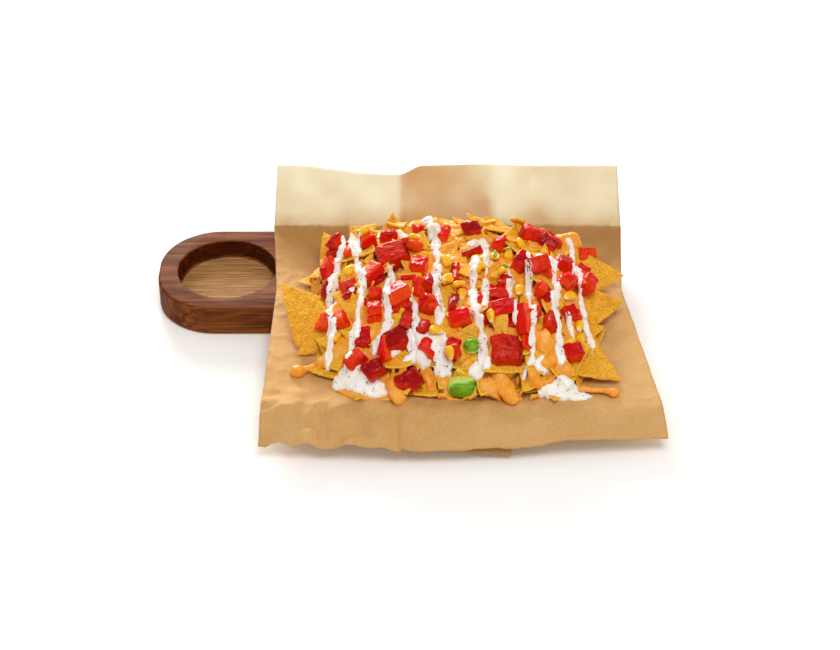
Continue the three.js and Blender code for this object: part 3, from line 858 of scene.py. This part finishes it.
def chip_shell(rng, side, bow, twist):
    """A thin triangle, bowed and blistered, with 1 for each point of its cut rim."""
    segments, rings = 42, (0.25, 0.45, 0.62, 0.77, 0.89, 0.96, 1.0)
    seed = rng.random() * 50
    half = 0.85

    def skin(sign):
        def place(fraction, angle):
            ragged = 1 + 0.022 * np.sin(3 * angle + seed) + 0.014 * np.sin(8 * angle + 2 * seed)
            reach = fraction * chip_reach(angle, side) * ragged
            x, y = reach * np.cos(angle), reach * np.sin(angle)
            z = 4 * bow * (y / side) ** 2 + 4 * twist * x * y / side**2
            points = np.stack([x, y, z], axis=1)
            blisters = fractal(points, 8, seed)
            edge = np.sqrt(np.clip(1 - ((fraction - 0.9) / 0.1) ** 2 * (fraction > 0.9), 0, 1))
            points[:, 2] += sign * half * (0.35 + 0.65 * edge) + 0.8 * blisters
            return points

        return place

    points, faces = closed_disc(segments, rings, skin(1), skin(-1))
    rim = np.zeros(len(points) // 2)
    rim[-segments:] = 1.0
    rim[-2 * segments : -segments] = 0.55
    return points, faces, np.concatenate([rim, rim])


def make_inner_chips():
    """The chips of the heap's own mass: layers round its sides, then a loose layer on top."""
    rng = random.Random(41)
    shells = Shells()

    def put(x, y, z, side, lean, fall, turn):
        points, faces, edge = chip_shell(rng, side, rng.uniform(1, 4), rng.uniform(-3, 3))
        points = points @ turned(lean, fall, turn).T + np.array([x, y, z])
        lowest = points[:, 2].min()
        if lowest < HEAP_FLOOR + 0.2:
            points[:, 2] += HEAP_FLOOR + 0.2 - lowest
        shells.add(points, faces, edge=edge)

    # height above the liner, number of chips, and least and most droop of each layer
    for height, count, least, most in ((3, 20, -2, 10), (9, 20, 8, 28), (16, 19, 18, 42), (24, 18, 14, 36)):
        for k in range(count):
            angle = 2 * math.pi * (k + rng.uniform(-0.35, 0.35)) / count + height
            side = rng.uniform(36, 52)
            droop = rng.uniform(least, most)
            back = 0.34 * side - rng.uniform(0, 4)
            x, y = heap_place(angle, rim_distance(angle, height) - back * math.cos(math.radians(droop)))
            z = HEAP_FLOOR + height + back * math.sin(math.radians(droop)) - 1.5
            lean, fall = -droop * math.sin(angle), droop * math.cos(angle)
            put(x, y, z, side, lean, fall, math.degrees(angle) + rng.uniform(-35, 35))

    spacing, half = 23, 8
    for row in range(-3, 4):
        for column in range(-4, 5):
            x = column * spacing + rng.uniform(-8, 8) + (row % 2) * 9
            y = HEAP_CENTRE_Y + row * spacing + rng.uniform(-8, 8)
            if heap_fraction(x, y) > 0.86:
                continue
            side = rng.uniform(30, 46)
            slope_x = (heap_top(x + half, y) - heap_top(x - half, y)) / (2 * half)
            slope_y = (heap_top(x, y + half) - heap_top(x, y - half)) / (2 * half)
            lean = math.degrees(math.atan(slope_y)) + rng.uniform(-17, 17)
            fall = -math.degrees(math.atan(slope_x)) + rng.uniform(-17, 17)
            put(x, y, heap_top(x, y) - 4.6, side, lean, fall, rng.uniform(0, 360))

    return settle(shells.make("heap_chips", CHIP), "corn_chip")


def plate_normal(points):
    """The direction in which a thin plate's points spread least."""
    return np.linalg.svd(points - points.mean(axis=0), full_matrices=False)[2][2]


def make_outer_chips():
    """The chips that stand out of the heap, each in its CAD chip's place."""
    for number, node in nodes_named("chip_"):
        chip = copy_of_node(node, f"corn_chip_{number:02d}", CHIP)
        flat = plate_normal(points_of(chip))
        remesh(chip, 0.85, 3)
        points, normals = points_of(chip), normals_of(chip)
        side = normals @ flat
        move = 0.75 * fractal(points, 8, number) + 0.35 * fractal(points, 22, number + 20, 1)
        grain = 0.25 * fractal(points, 3, number)
        move_points(chip, points + move[:, None] * flat + grain[:, None] * normals)
        write_values(chip, "edge", np.clip(1.25 - np.abs(side) * 1.4, 0, 1))
        settle(chip, "corn_chip", node)


def crumb_skin(side, height, stretch):
    """One face of a broken chip corner, for closed_disc."""

    def place(fraction, turn):
        flat = fraction * chip_reach(turn, side)
        bow = 0.012 * flat**2 * np.cos(2 * turn)
        return np.stack([flat * np.cos(turn), stretch * flat * np.sin(turn), bow + height], axis=1)

    return place


def make_crumbs():
    """Broken corners of chips among the toppings."""
    rng = random.Random(67)
    shells = Shells()
    for _ in range(70):
        angle, share = rng.uniform(0, 2 * math.pi), math.sqrt(rng.uniform(0, 0.74))
        x, y = heap_place(angle, share * heap_reach(angle))
        side, half, stretch = rng.uniform(9, 24), rng.uniform(0.6, 0.9), rng.uniform(0.45, 0.9)
        skins = crumb_skin(side, half, stretch), crumb_skin(side, -half, stretch)
        points, faces = closed_disc(12, (0.5, 0.93, 1.0), *skins)
        points = points + 0.5 * fractal(points, 4, side)[:, None]
        points = lie_on(points, x, y, tipped(rng, x, y, 0.5, 0.2), rng.uniform(0, 360), 0.9)
        shells.add(points, faces, edge=0.2)
    return settle(shells.make("chip_crumbs", CHIP), "corn_chip")


# ---- melted cheese ----
def blurred(field, width):
    """A smooth copy of a grid: three passes of a box filter that reaches this many cells."""
    kernel = np.ones(2 * width + 1) / (2 * width + 1)
    for _ in range(3):
        for axis in (0, 1):
            padded = np.pad(field, [(width, width) if a == axis else (0, 0) for a in (0, 1)], mode="edge")
            field = np.apply_along_axis(lambda row: np.convolve(row, kernel, "valid"), axis, padded)
    return field


def make_cheese_sheet():
    """Sauce poured over the chips: it follows them, fills the hollows and leaves some of them bare."""
    xs, ys = np.arange(-106, 107.0), np.arange(-101, 98.0)
    grid_x, grid_y = np.meshgrid(xs, ys)
    under = np.array([[ground.height(x, y) for x in xs] for y in ys])
    spots = flat_spots(grid_x, grid_y)
    spread = fractal(spots, 17, 8, 3).reshape(grid_x.shape)
    fraction = heap_fraction(grid_x, grid_y)
    toward_front = smooth_step(-grid_y, 40, 80) * smooth_step(100 - np.abs(grid_x), 5, 25)
    cover = 0.24 + 1.3 * spread - (2.4 - 2.2 * toward_front) * np.maximum(fraction - 0.82, 0)
    thick = 2.8 * np.sqrt(np.clip(cover * 2.2, 0, 1)) - 1.6 * np.clip(-cover * 5, 0, 1)
    filled = np.maximum(blurred(under, 1), blurred(under, 4) - 0.6)
    lumps = 0.9 * fractal(spots, 6, 31, 3).reshape(grid_x.shape)
    height = np.maximum(filled + thick + lumps - 0.9, HEAP_FLOOR)
    top = np.stack([grid_x, grid_y, height], axis=2).reshape(-1, 3)
    shown = (height > under - 1.2) & (cover > -0.12) & (fraction < 1.05)
    sheet = sheet_from_grid("melted_cheese", top, shown, len(xs), 3.0, CHEESE)
    return settle(sheet, "chips_and_cheese")


def sheet_from_grid(name, top, shown, columns, depth, material):
    """A closed sheet of the grid's shown cells."""
    shown = shown.ravel()
    faces = [face for face in grid_faces(columns, len(top) // columns) if all(shown[v] for v in face)]
    used = sorted({v for face in faces for v in face})
    renumber = {v: k for k, v in enumerate(used)}
    faces = [tuple(renumber[v] for v in face) for face in faces]
    upper = top[used]
    count = len(upper)
    directed = {pair: None for face in faces for pair in zip(face, face[1:] + face[:1])}
    border = [(a, b) for a, b in directed if (b, a) not in directed]
    faces += [tuple(count + v for v in reversed(face)) for face in faces]
    faces += [(b, a, count + a, count + b) for a, b in border]
    return add_mesh(name, np.concatenate([upper, upper - [0, 0, depth]]), faces, material)


# ---- diced tomato ----
def skin_side(rng):
    """Which way a die's skin faces: mostly up, else to one side."""
    if rng.random() < 0.55:
        return np.array([0.15, -0.25, 1.0])
    turn = rng.uniform(0, 2 * math.pi)
    return np.array([math.cos(turn), math.sin(turn), 0.25])


def finish_die(die, rng, seed, growth=1.0):
    """Rounds a die's edges, makes its faces uneven and says where its skin is and how bright it is."""
    points = points_of(die)
    middle = (points.min(axis=0) + points.max(axis=0)) / 2
    move_points(die, middle + (points - middle) * growth)
    remesh(die, 0.75, 3)
    swell(die, lambda p: 0.2 + 1.1 * fractal(p, 9, seed, 1) + 0.5 * fractal(p, 3.5, seed, 2))
    axis = skin_side(rng)
    write_values(die, "skin", smooth_step(normals_of(die) @ axis / np.linalg.norm(axis), 0.35, 0.75))
    points = points_of(die)
    large = np.ptp(points, axis=0).max() > 19
    write_values(die, "tint", np.full(len(points), rng.random() * (0.3 if large else 1)))


def make_dice():
    """The large dice, each in its CAD node's place."""
    rng = random.Random(7)
    for number, node in nodes_named("tomato_"):
        die = copy_of_node(node, f"tomato_die_{number:02d}", TOMATO)
        finish_die(die, rng, number, 1.12)
        settle(die, "tomato", node)


def block(length, width, height):
    """A block's corners and faces, crowned a little on top."""
    x, y, z = length / 2, width / 2, height / 2
    points = [(sx * x, sy * y, sz * z) for sz in (-1, 1) for sy in (-1, 1) for sx in (-1, 1)]
    points.append((0, 0, 1.15 * z))
    faces = [(0, 2, 3, 1), (0, 1, 5, 4), (1, 3, 7, 5), (3, 2, 6, 7), (2, 0, 4, 6)]
    faces += [(4, 5, 8), (5, 7, 8), (7, 6, 8), (6, 4, 8)]
    return np.array(points), faces


# x, y, length, width, height and turn of the slices and small bits of tomato
SLICES = [
    (-63, 33, 10, 8, 7, 20), (-87, 42, 11, 8, 7, 60), (-80, 34, 8, 5, 5, 30), (-76, -10, 12, 10, 8, 15),
    (-60, -9, 14, 11, 7, 40), (-57, -49, 9, 8, 6, 10), (-30, 24, 10, 8, 7, 50), (-27, -25, 15, 6, 6, 80),
    (-22, -42, 11, 9, 7, 20), (-42, -40, 16, 13, 9, 30), (-2, -11, 8, 6, 6, 10), (16, -28, 10, 7, 6, 70),
    (18, -53, 8, 7, 6, 30), (31, -51, 17, 13, 10, 10), (37, -38, 9, 7, 6, 60), (44, -60, 22, 8, 9, 85),
    (57, -4, 15, 11, 8, 25), (89, 9, 16, 10, 8, 80), (94, 40, 13, 10, 8, 30), (66, 38, 13, 9, 7, -40),
    (58, -30, 9, 6, 6, 80), (52, -52, 9, 7, 6, 50), (77, -41, 9, 8, 6, 30), (-4, -83, 9, 8, 6, 20),
    (78, -9, 12, 8, 7, 60), (-66, 86, 10, 9, 6, 20), (-46, 88, 11, 9, 6, 60), (-24, 88, 11, 9, 6, 35),
    (-4, 89, 12, 9, 6, 75), (22, 88, 10, 10, 6, 10), (36, 89, 10, 9, 6, 50), (54, 87, 11, 9, 6, 30),
    (72, 83, 10, 9, 6, 65), (-77, 27, 10, 5, 4, 80), (-34, -11, 11, 3.5, 4, 5), (11, 20, 14, 4, 5, 4),
    (-1, -1, 20, 4.5, 5, 86), (71, 41, 8, 8, 6, 20), (66, 31, 7, 5, 4, 60), (-57, -27, 10, 8, 5, 80),
    (-36, -62, 12, 8, 6, 75), (-50, -77, 17, 7, 6, 84), (-24, -61, 11, 7, 6, 70), (-3, -38, 18, 6, 6, 85),
    (46, -70, 16, 7, 7, 86), (19, -31, 6, 5, 4, 30), (90, 20, 12, 10, 6, 70), (-93, 18, 9, 6, 5, 70),
    (-66, -35, 7, 5, 4, 20), (24, -20, 8, 5, 5, 80), (52, -42, 9, 7, 5, 10), (3, -22, 8, 6, 5, 80),
    (-36, 26, 8, 6, 5, 40),
]


def make_slices():
    """The smaller tomato, laid on what is there."""
    rng = random.Random(19)
    shells = Shells()
    for number, (x, y, length, width, height, turn) in enumerate(SLICES, 60):
        one = add_mesh("slice", *block(length, width, height))
        finish_die(one, rng, number)
        skin = np.empty(len(one.data.vertices), np.float32)
        one.data.attributes["skin"].data.foreach_get("value", skin)
        points = lie_on(points_of(one), x, y, tipped(rng, x, y, 0.2), turn, 0.28 * height)
        faces = [tuple(polygon.vertices) for polygon in one.data.polygons]
        shells.add(points, faces, skin=skin, tint=rng.random())
        bpy.data.objects.remove(one)
    return settle(shells.make("tomato_slices", TOMATO), "tomato")


# ---- sweetcorn ----
# x and y of each kernel
CORN = [
    (-8, 12), (-7, -6), (14, 9), (19, 8), (14, -4), (19, 1), (-6, -87), (2, -88), (1, -20), (3, -27),
    (28, -3), (31, -9), (-74, 83), (-34, 88), (11, 88), (44, 87), (-56, 87), (64, 85), (-76, 7), (-66, 37),
    (-15, -67), (-8, 6), (-7, -15), (15, 14), (15, 3), (27, 14), (46, 32), (43, -22), (78, -22), (84, -43),
    (85, -51), (77, -65), (-52, 26), (37, 20), (-84, -56), (22, -60), (-30, 30),
]


def kernel_shell(rng):
    """A plump kernel, with 1 for each point of its flat pale tip."""
    length, width, depth = rng.uniform(9, 10.5), rng.uniform(8, 9.2), rng.uniform(5.4, 6.6)
    turns, angles, faces = globe(18, 12)
    along = -np.cos(turns)
    girth = np.sin(turns) ** 0.75 * (0.78 + 0.22 * along)
    c, s = np.cos(angles), np.sin(angles)
    across = np.copysign(np.abs(c) ** 0.75, c) * girth * width / 2
    up = np.copysign(np.abs(s) ** 0.75, s) * girth * depth / 2
    return np.stack([along * length / 2, across, up], axis=1), faces, smooth_step(-along, 0.5, 0.95)


def make_corn():
    """Kernels that lie on the other toppings, each turned at random."""
    rng = random.Random(23)
    shells = Shells()
    for x, y in CORN:
        points, faces, tips = kernel_shell(rng)
        points = lie_on(points, x, y, tipped(rng, x, y, 0.4), rng.uniform(0, 360), 2.8)
        shells.add(points, faces, tip=tips)
    return settle(shells.make("sweetcorn_kernels", CORN_LOOK), "chips_and_cheese")


# ---- green pepper ----
def make_peppers():
    """Green pepper: a chunk whose skin faces the front, and a small round one."""
    # the way that the skin faces, and how boxy the piece is
    shapes = (((0.5, -0.7, -0.4), 2.6), ((0, -0.2, 1), 2.2))
    for (number, node), (outward, squareness) in zip(nodes_named("pepper_"), shapes):
        piece = copy_of_node(node, f"green_pepper_{number}", PEPPER)
        remesh(piece, 0.45, 2)
        points = points_of(piece)
        low, high = points.min(axis=0), points.max(axis=0)
        middle, half = (low + high) / 2, (high - low) / 2
        unit = (points - middle) / half
        reach = (np.abs(unit) ** squareness).sum(axis=1) ** (1 / squareness)
        move_points(piece, middle + unit / reach[:, None] * half * 1.04)
        facing = normals_of(piece) @ np.array(outward) / np.linalg.norm(outward)
        swell(piece, lambda p: 0.3 * fractal(p, 7, number, 2))
        write_values(piece, "skin", smooth_step(facing, -0.15, 0.25))
        settle(piece, "green_pepper", node)


# x and y of each sliver
GREEN_BITS = [(-62, 44), (-59, 47), (27, 12), (36, 22), (60, -18), (34, -8), (-18, 30), (-71, 62), (26, 78)]


def make_green_bits():
    """Slivers of green pepper and herbs between the other toppings."""
    rng = random.Random(31)
    shells = Shells()
    for x, y in GREEN_BITS:
        points, faces = ball(1, 12, 8)
        points = points * [rng.uniform(2, 3.6), rng.uniform(1.2, 2), rng.uniform(0.9, 1.4)]
        points = lie_on(points, x, y, ground.normal(x, y), rng.uniform(0, 180), 1.0)
        points = points + 0.5 * fractal(points, 4, x + y, 1)[:, None]
        shells.add(points, faces, skin=rng.uniform(0.3, 1))
    return settle(shells.make("green_bits", PEPPER), "chips_and_cheese")


# ---- poured lines: sour cream and drips of cheese ----
def resampled(route, spacing):
    """Points every so many millimetres along a smooth line through the route's points."""
    route = [np.array(point, float) for point in route]
    ends = [2 * route[0] - route[1], *route, 2 * route[-1] - route[-2]]
    dense = []
    for a, b, c, d in zip(ends, ends[1:], ends[2:], ends[3:]):
        for t in np.arange(24) / 24:
            curved = (2 * a - 5 * b + 4 * c - d) * t**2 + (3 * b - a - 3 * c + d) * t**3
            dense.append(0.5 * (2 * b + (c - a) * t + curved))
    dense = np.array(dense + [route[-1]])
    steps = np.concatenate([[0], np.cumsum(np.linalg.norm(np.diff(dense, axis=0), axis=1))])
    wanted = np.linspace(0, steps[-1], max(4, int(steps[-1] / spacing)))
    return np.stack([np.interp(wanted, steps, dense[:, axis]) for axis in range(2)], axis=1)


class Pour:
    """A thick sauce poured along lines and into puddles, draped over what lies there."""

    def __init__(self, low, high):
        step = 0.8
        self.xs, self.ys = np.arange(low[0], high[0], step), np.arange(low[1], high[1], step)
        self.x, self.y = np.meshgrid(self.xs, self.ys)
        self.cover = np.full(self.x.shape, -1.0)
        self.body = np.zeros(self.x.shape)

    def spread(self, x, y, half_length, half_width, turn, body):
        """One drop: cover is 1 in its middle and 0 on its edge, and body is how thick it stands."""
        reach = max(half_length, half_width) * 1.5
        columns = slice(*np.searchsorted(self.xs, (x - reach, x + reach)))
        rows = slice(*np.searchsorted(self.ys, (y - reach, y + reach)))
        c, s = math.cos(math.radians(turn)), math.sin(math.radians(turn))
        dx, dy = self.x[rows, columns] - x, self.y[rows, columns] - y
        along, across = (dx * c + dy * s) / half_length, (dy * c - dx * s) / half_width
        cover = 1 - along**2 - across**2
        higher = cover > self.cover[rows, columns]
        self.cover[rows, columns][higher] = cover[higher]
        self.body[rows, columns][higher] = body

    def line(self, route, width, seed, blob=0.0, height=0.55, wander=1.6):
        """A line along the route, of uneven width. blob widens its start."""
        spacing = 0.7
        points = resampled(route, spacing)
        at = np.arange(len(points)) * spacing
        drift, bulges, knots = (
            np.array([noise.noise(Vector((s / size, seed * 1.7, size))) for s in at]) for size in (9, 8, 3)
        )
        direction = np.gradient(points, axis=0)
        direction /= np.linalg.norm(direction, axis=1)[:, None]
        aside = np.stack([-direction[:, 1], direction[:, 0]], axis=1)
        points = points + aside * (wander * drift)[:, None]
        radius = 0.35 * width * (1 + 0.8 * bulges + 0.6 * knots)
        radius *= 0.4 + 0.6 * smooth_step(at, 0, 3) * smooth_step(at[-1] - at, 0, 4)
        radius += blob * np.exp(-((at - 3) / 4.5) ** 2)
        for (x, y), r in zip(points, radius):
            self.spread(x, y, r, r, 0, height * r)

    def make(self, name, material, seed, ragged=0.3):
        """The poured layer as a closed, rounded mesh."""
        near = self.cover > -0.6
        under = np.zeros(self.x.shape)
        under[near] = [ground.height(x, y) for x, y in zip(self.x[near], self.y[near])]
        close = blurred(under, 1) / np.maximum(blurred(near.astype(float), 1), 0.01)
        wide = blurred(under, 3) / np.maximum(blurred(near.astype(float), 3), 0.01)
        filled = np.maximum(np.maximum(close, wide - 0.5), under - 0.5)
        cover = self.cover.copy()
        cover[near] += ragged * fractal(flat_spots(self.x[near], self.y[near]), 3.5, seed, 2)
        height = filled + self.body * np.sqrt(np.clip(cover, 0, 1)) - 0.5
        top = np.stack([self.x, self.y, np.maximum(height, PAPER_TOP + 0.4)], axis=2).reshape(-1, 3)
        layer = sheet_from_grid(name, top, near & (cover > 0), len(self.xs), 4.0, material)
        points = points_of(layer)
        points[:, 2] = np.maximum(points[:, 2], PAPER_TOP - 0.2)
        move_points(layer, points)
        remesh(layer, 0.75, 3)
        swell(layer, lambda p: 0.3 + 0.35 * fractal(p, 3.5, seed, 2))
        return layer


# each line's route, its width and how much wider its start is
CREAM_LINES = [
    (((-77, 50), (-81, 34), (-85, 20), (-88, 4), (-89, -23), (-87, -47), (-88, -63), (-89, -72)), 7.5, 4),
    (((-74, 42), (-73, 36), (-70, 10), (-66, -14), (-67, -36), (-70, -55), (-71, -66), (-76, -80)), 8, 2),
    (((-48, -1), (-45, -5), (-48, -18), (-50, -30), (-49, -38), (-48, -58), (-54, -68), (-57, -77)), 7.5, 2),
    (((-36, -16), (-41, -21), (-46, -30), (-49, -38)), 7, 1),
    (((-31, -36), (-31, -41), (-29, -55), (-30, -70), (-31, -80), (-37, -85)), 6, 0),
    (((-17, 51), (-15, 38), (-14, 26), (-14, 2), (-15, -16), (-12, -35), (-12, -49), (-14, -59)), 8, 4),
    (((12, 16), (12, 0), (11, -17), (12, -43), (15, -57), (17, -73), (14, -88)), 8, 0),
    (((19, 42), (20, 30), (21, 22), (20, -8), (19, -40)), 7, 3),
    (((34, 5), (38, -13), (36, -25), (38, -44), (39, -64)), 5.5, 0),
    (((50, 14), (50, -12), (50, -34), (51, -54), (50, -71), (49, -81), (43, -91)), 6.5, 0),
    (((61, 20), (69, 15), (69, -1), (69, -18), (67, -37), (69, -56), (69, -71), (70, -83)), 7, 2),
    (((80, 44), (83, 40), (85, 17), (87, -3), (88, -29), (92, -47), (92, -60)), 6.5, 1),
    (((75, -44), (81, -58)), 4, 1),
    (((76, 30), (70, 20)), 6, 0),
    (((-75, 82), (-76, 88)), 5.5, 0),
    (((-16, 85), (-15, 91)), 6, 0),
    (((17, 85), (15, 92)), 6, 0),
    (((66, 82), (67, 89)), 5.5, 0),
]
# x, y, length, width, turn and depth of the puddles that lie under the tomatoes
LOW_POOLS = [
    (-76, -84, 22, 15, 10, 4), (-61, -93, 30, 13, -8, 3.5), (-45, -76, 18, 10, 30, 3),
    (-22, -72, 30, 22, 15, 4), (-10, -82, 14, 16, 0, 4), (72, -95, 38, 12, -3, 3), (-38, 46, 9, 8, 0, 2),
    (56, -84, 12, 8, 20, 3),
]
# and of those that run into the lines
HIGH_POOLS = [
    (14, -88, 16, 12, 0, 3.5), (-20, 57, 10, 8, 20, 3), (13, 35, 13, 8, 30, 3), (62, 15, 14, 11, -30, 3),
    (-76, 45, 15, 11, 0, 3.5),
]


def add_pools(pour, pools):
    for x, y, length, width, turn, depth in pools:
        pour.spread(x, y, length / 2, width / 2, turn, depth)


def make_cream_pools():
    """Puddles of cream that the tomatoes then lie on."""
    pour = Pour((-104, -108), (104, 66))
    add_pools(pour, LOW_POOLS)
    return settle(pour.make("sour_cream_pools", CREAM, 3), "chips_and_cheese")


def make_cream():
    """Lines of cream over the toppings, with the puddles that they run into."""
    pour = Pour((-104, -108), (104, 96))
    for seed, (route, width, blob) in enumerate(CREAM_LINES, 1):
        pour.line(route, width, seed, blob=blob * 0.6)
    add_pools(pour, HIGH_POOLS)
    return settle(pour.make("sour_cream", CREAM, 2), "chips_and_cheese")


def make_specks(pools, cream):
    """Ground black pepper and herbs on the cream."""
    rng = random.Random(5)
    shells = Shells()
    points = np.concatenate([points_of(pools), points_of(cream)])
    normals = np.concatenate([normals_of(pools), normals_of(cream)])
    open_places = np.flatnonzero(normals[:, 2] > 0.2)
    for _ in range(260):
        spot = points[rng.choice(open_places)]
        grain, faces = ball(rng.uniform(0.28, 0.55), 6, 4)
        grain = grain * [rng.uniform(0.7, 1.6), 1, rng.uniform(0.5, 0.9)]
        grain = grain @ turned(rng.uniform(-40, 40), rng.uniform(-40, 40), rng.uniform(0, 180)).T
        shells.add(grain + spot, faces)
    return finish_piece(shells.make("pepper_specks", SPECK), "chips_and_cheese")


# each drip's route and width
CHEESE_DRIPS = [
    (((40, -98), (48, -94), (56, -92), (66, -88)), 7),
    (((56, -62), (58, -72), (60, -80)), 12),
    (((-90, -60), (-92, -70)), 8),
]
# x, y, z and radius of lumps of cheese: single ones, then rows that run together into drips
CHEESE_LUMPS = [
    (84, 50, 53, 6), (79, 48, 53, 6), (81, 53, 50, 6), (87, 46, 50, 5), (76, 51, 52, 5),
    (57, -72, 45, 6.5), (62, -68, 46, 6), (58, -79, 40, 7), (64, -76, 41, 6), (54, -66, 48, 5),
    (-110, -71, 26, 5.5), (-106, -70, 26, 2.8), (-103, -69, 27, 2.5), (-100, -68, 28, 2.4),
    (27, -88, 36, 5.5), (30, -93, 33, 6), (33, -97, 30.5, 6.5), (35, -100, 28.5, 6), (36, -102, 27.5, 5),
    (-44, -93, 32, 6), (-42, -97, 30, 6), (-41, -100, 28, 5.5), (-40, -102, 27, 5), (20, -95, 30, 6),
    (18, -93, 33, 5),
    (82, -93, 28, 2.8), (85, -92, 28, 2.5), (88, -92, 27.5, 2.3), (91, -92, 27, 2.3), (94, -92, 27, 2.3),
    (97, -93, 27, 2.4), (100, -93.5, 27, 2.6), (103, -94, 27, 2.9), (105, -95, 27, 3.5),
]


def make_cheese_drips():
    """Drips that run off the heap, then lumps of cheese that hang from it."""
    pour = Pour((-120, -110), (112, -50))
    for seed, (route, width) in enumerate(CHEESE_DRIPS, 70):
        pour.line(route, width, seed, height=0.75, wander=0.8)
    settle(pour.make("cheese_drips", CHEESE, 9, ragged=0.15), "chips_and_cheese")

    shells = Shells()
    for x, y, z, radius in CHEESE_LUMPS:
        points, faces = ball(radius, 20, 14)
        shells.add(points * [1, 1, 0.85] + [x, y, z], faces)
    lumps = shells.make("cheese_lumps", CHEESE)
    remesh(lumps, 1.0, 2)
    swell(lumps, lambda p: 0.9 * fractal(p, 7, 4, 3))
    return settle(lumps, "chips_and_cheese")


make_board()
make_paper()
make_tuck()
make_core()
make_inner_chips()
make_cheese_sheet()
make_outer_chips()
make_crumbs()
cream_pools = make_cream_pools()
make_dice()
make_slices()
make_corn()
make_peppers()
make_green_bits()
make_cheese_drips()
make_specks(cream_pools, make_cream())


# ---- camera, light and floor ----
# places in metres
CAMERA_PLACE = (-0.026, -1.146, 0.877)
LIT_PLACE = Vector((0, 0, 0.03))
KEY_PLACE = (-0.45, 1.7, 0.66)
FILL_PLACE = (0.2, -0.7, 1.6)
LAMP_SIZE = 0.9
CAMERA_TILT = math.radians(52.97)
CAMERA_LENS = 85.7
# in millimetres, as it is a mesh
FLOOR_REACH = 6000
FLOOR_HEIGHT = -0.2


def add_area(name, place, power, tint):
    """A round area lamp that faces the heap."""
    light = bpy.data.lights.new(name, "AREA")
    light.shape, light.size, light.energy, light.color = "DISK", LAMP_SIZE, power, tint
    lamp = bpy.data.objects.new(name, light)
    lamp.location = place
    lamp.rotation_euler = (LIT_PLACE - Vector(place)).to_track_quat("-Z", "Y").to_euler()
    bpy.context.scene.collection.objects.link(lamp)


def make_floor():
    """A wide pale floor just under the board. It glows faintly warm, painted light that makes it a little
    warm where it is in shadow.
    """
    look = Look("floor", Roughness=0.9, Specular_IOR_Level=0.0, Emission_Strength=0.12)
    look.shader.inputs["Base Color"].default_value = (0.95, 0.95, 0.95, 1)
    # painted light: a faint warm glow of the floor, which warms its shadows and the light that it throws
    # back
    look.shader.inputs["Emission Color"].default_value = (1, 0.76, 0.46, 1)
    signs = ((-1, -1), (1, -1), (1, 1), (-1, 1))
    corners = [(x * FLOOR_REACH, y * FLOOR_REACH, FLOOR_HEIGHT) for x, y in signs]
    add_mesh("floor", corners, [(0, 1, 2, 3)], look.material)


def make_studio():
    """The camera, the white surroundings, two lamps and the floor."""
    scene = bpy.context.scene
    camera = bpy.data.objects.new("camera", bpy.data.cameras.new("camera"))
    camera.location = CAMERA_PLACE
    camera.rotation_euler = (CAMERA_TILT, 0, 0)
    camera.data.lens = CAMERA_LENS
    camera.data.sensor_width = 36
    scene.collection.objects.link(camera)
    scene.camera = camera

    world = bpy.data.worlds.new("studio")
    world.use_nodes = True
    background = world.node_tree.nodes["Background"].inputs
    background["Color"].default_value = (1, 1, 1, 1)
    background["Strength"].default_value = 0.55
    scene.world = world
    scene.view_settings.view_transform = "Standard"

    add_area("key", KEY_PLACE, 36, (1, 0.97, 0.93))
    add_area("fill", FILL_PLACE, 12.5, (1, 1, 1))
    make_floor()


make_studio()
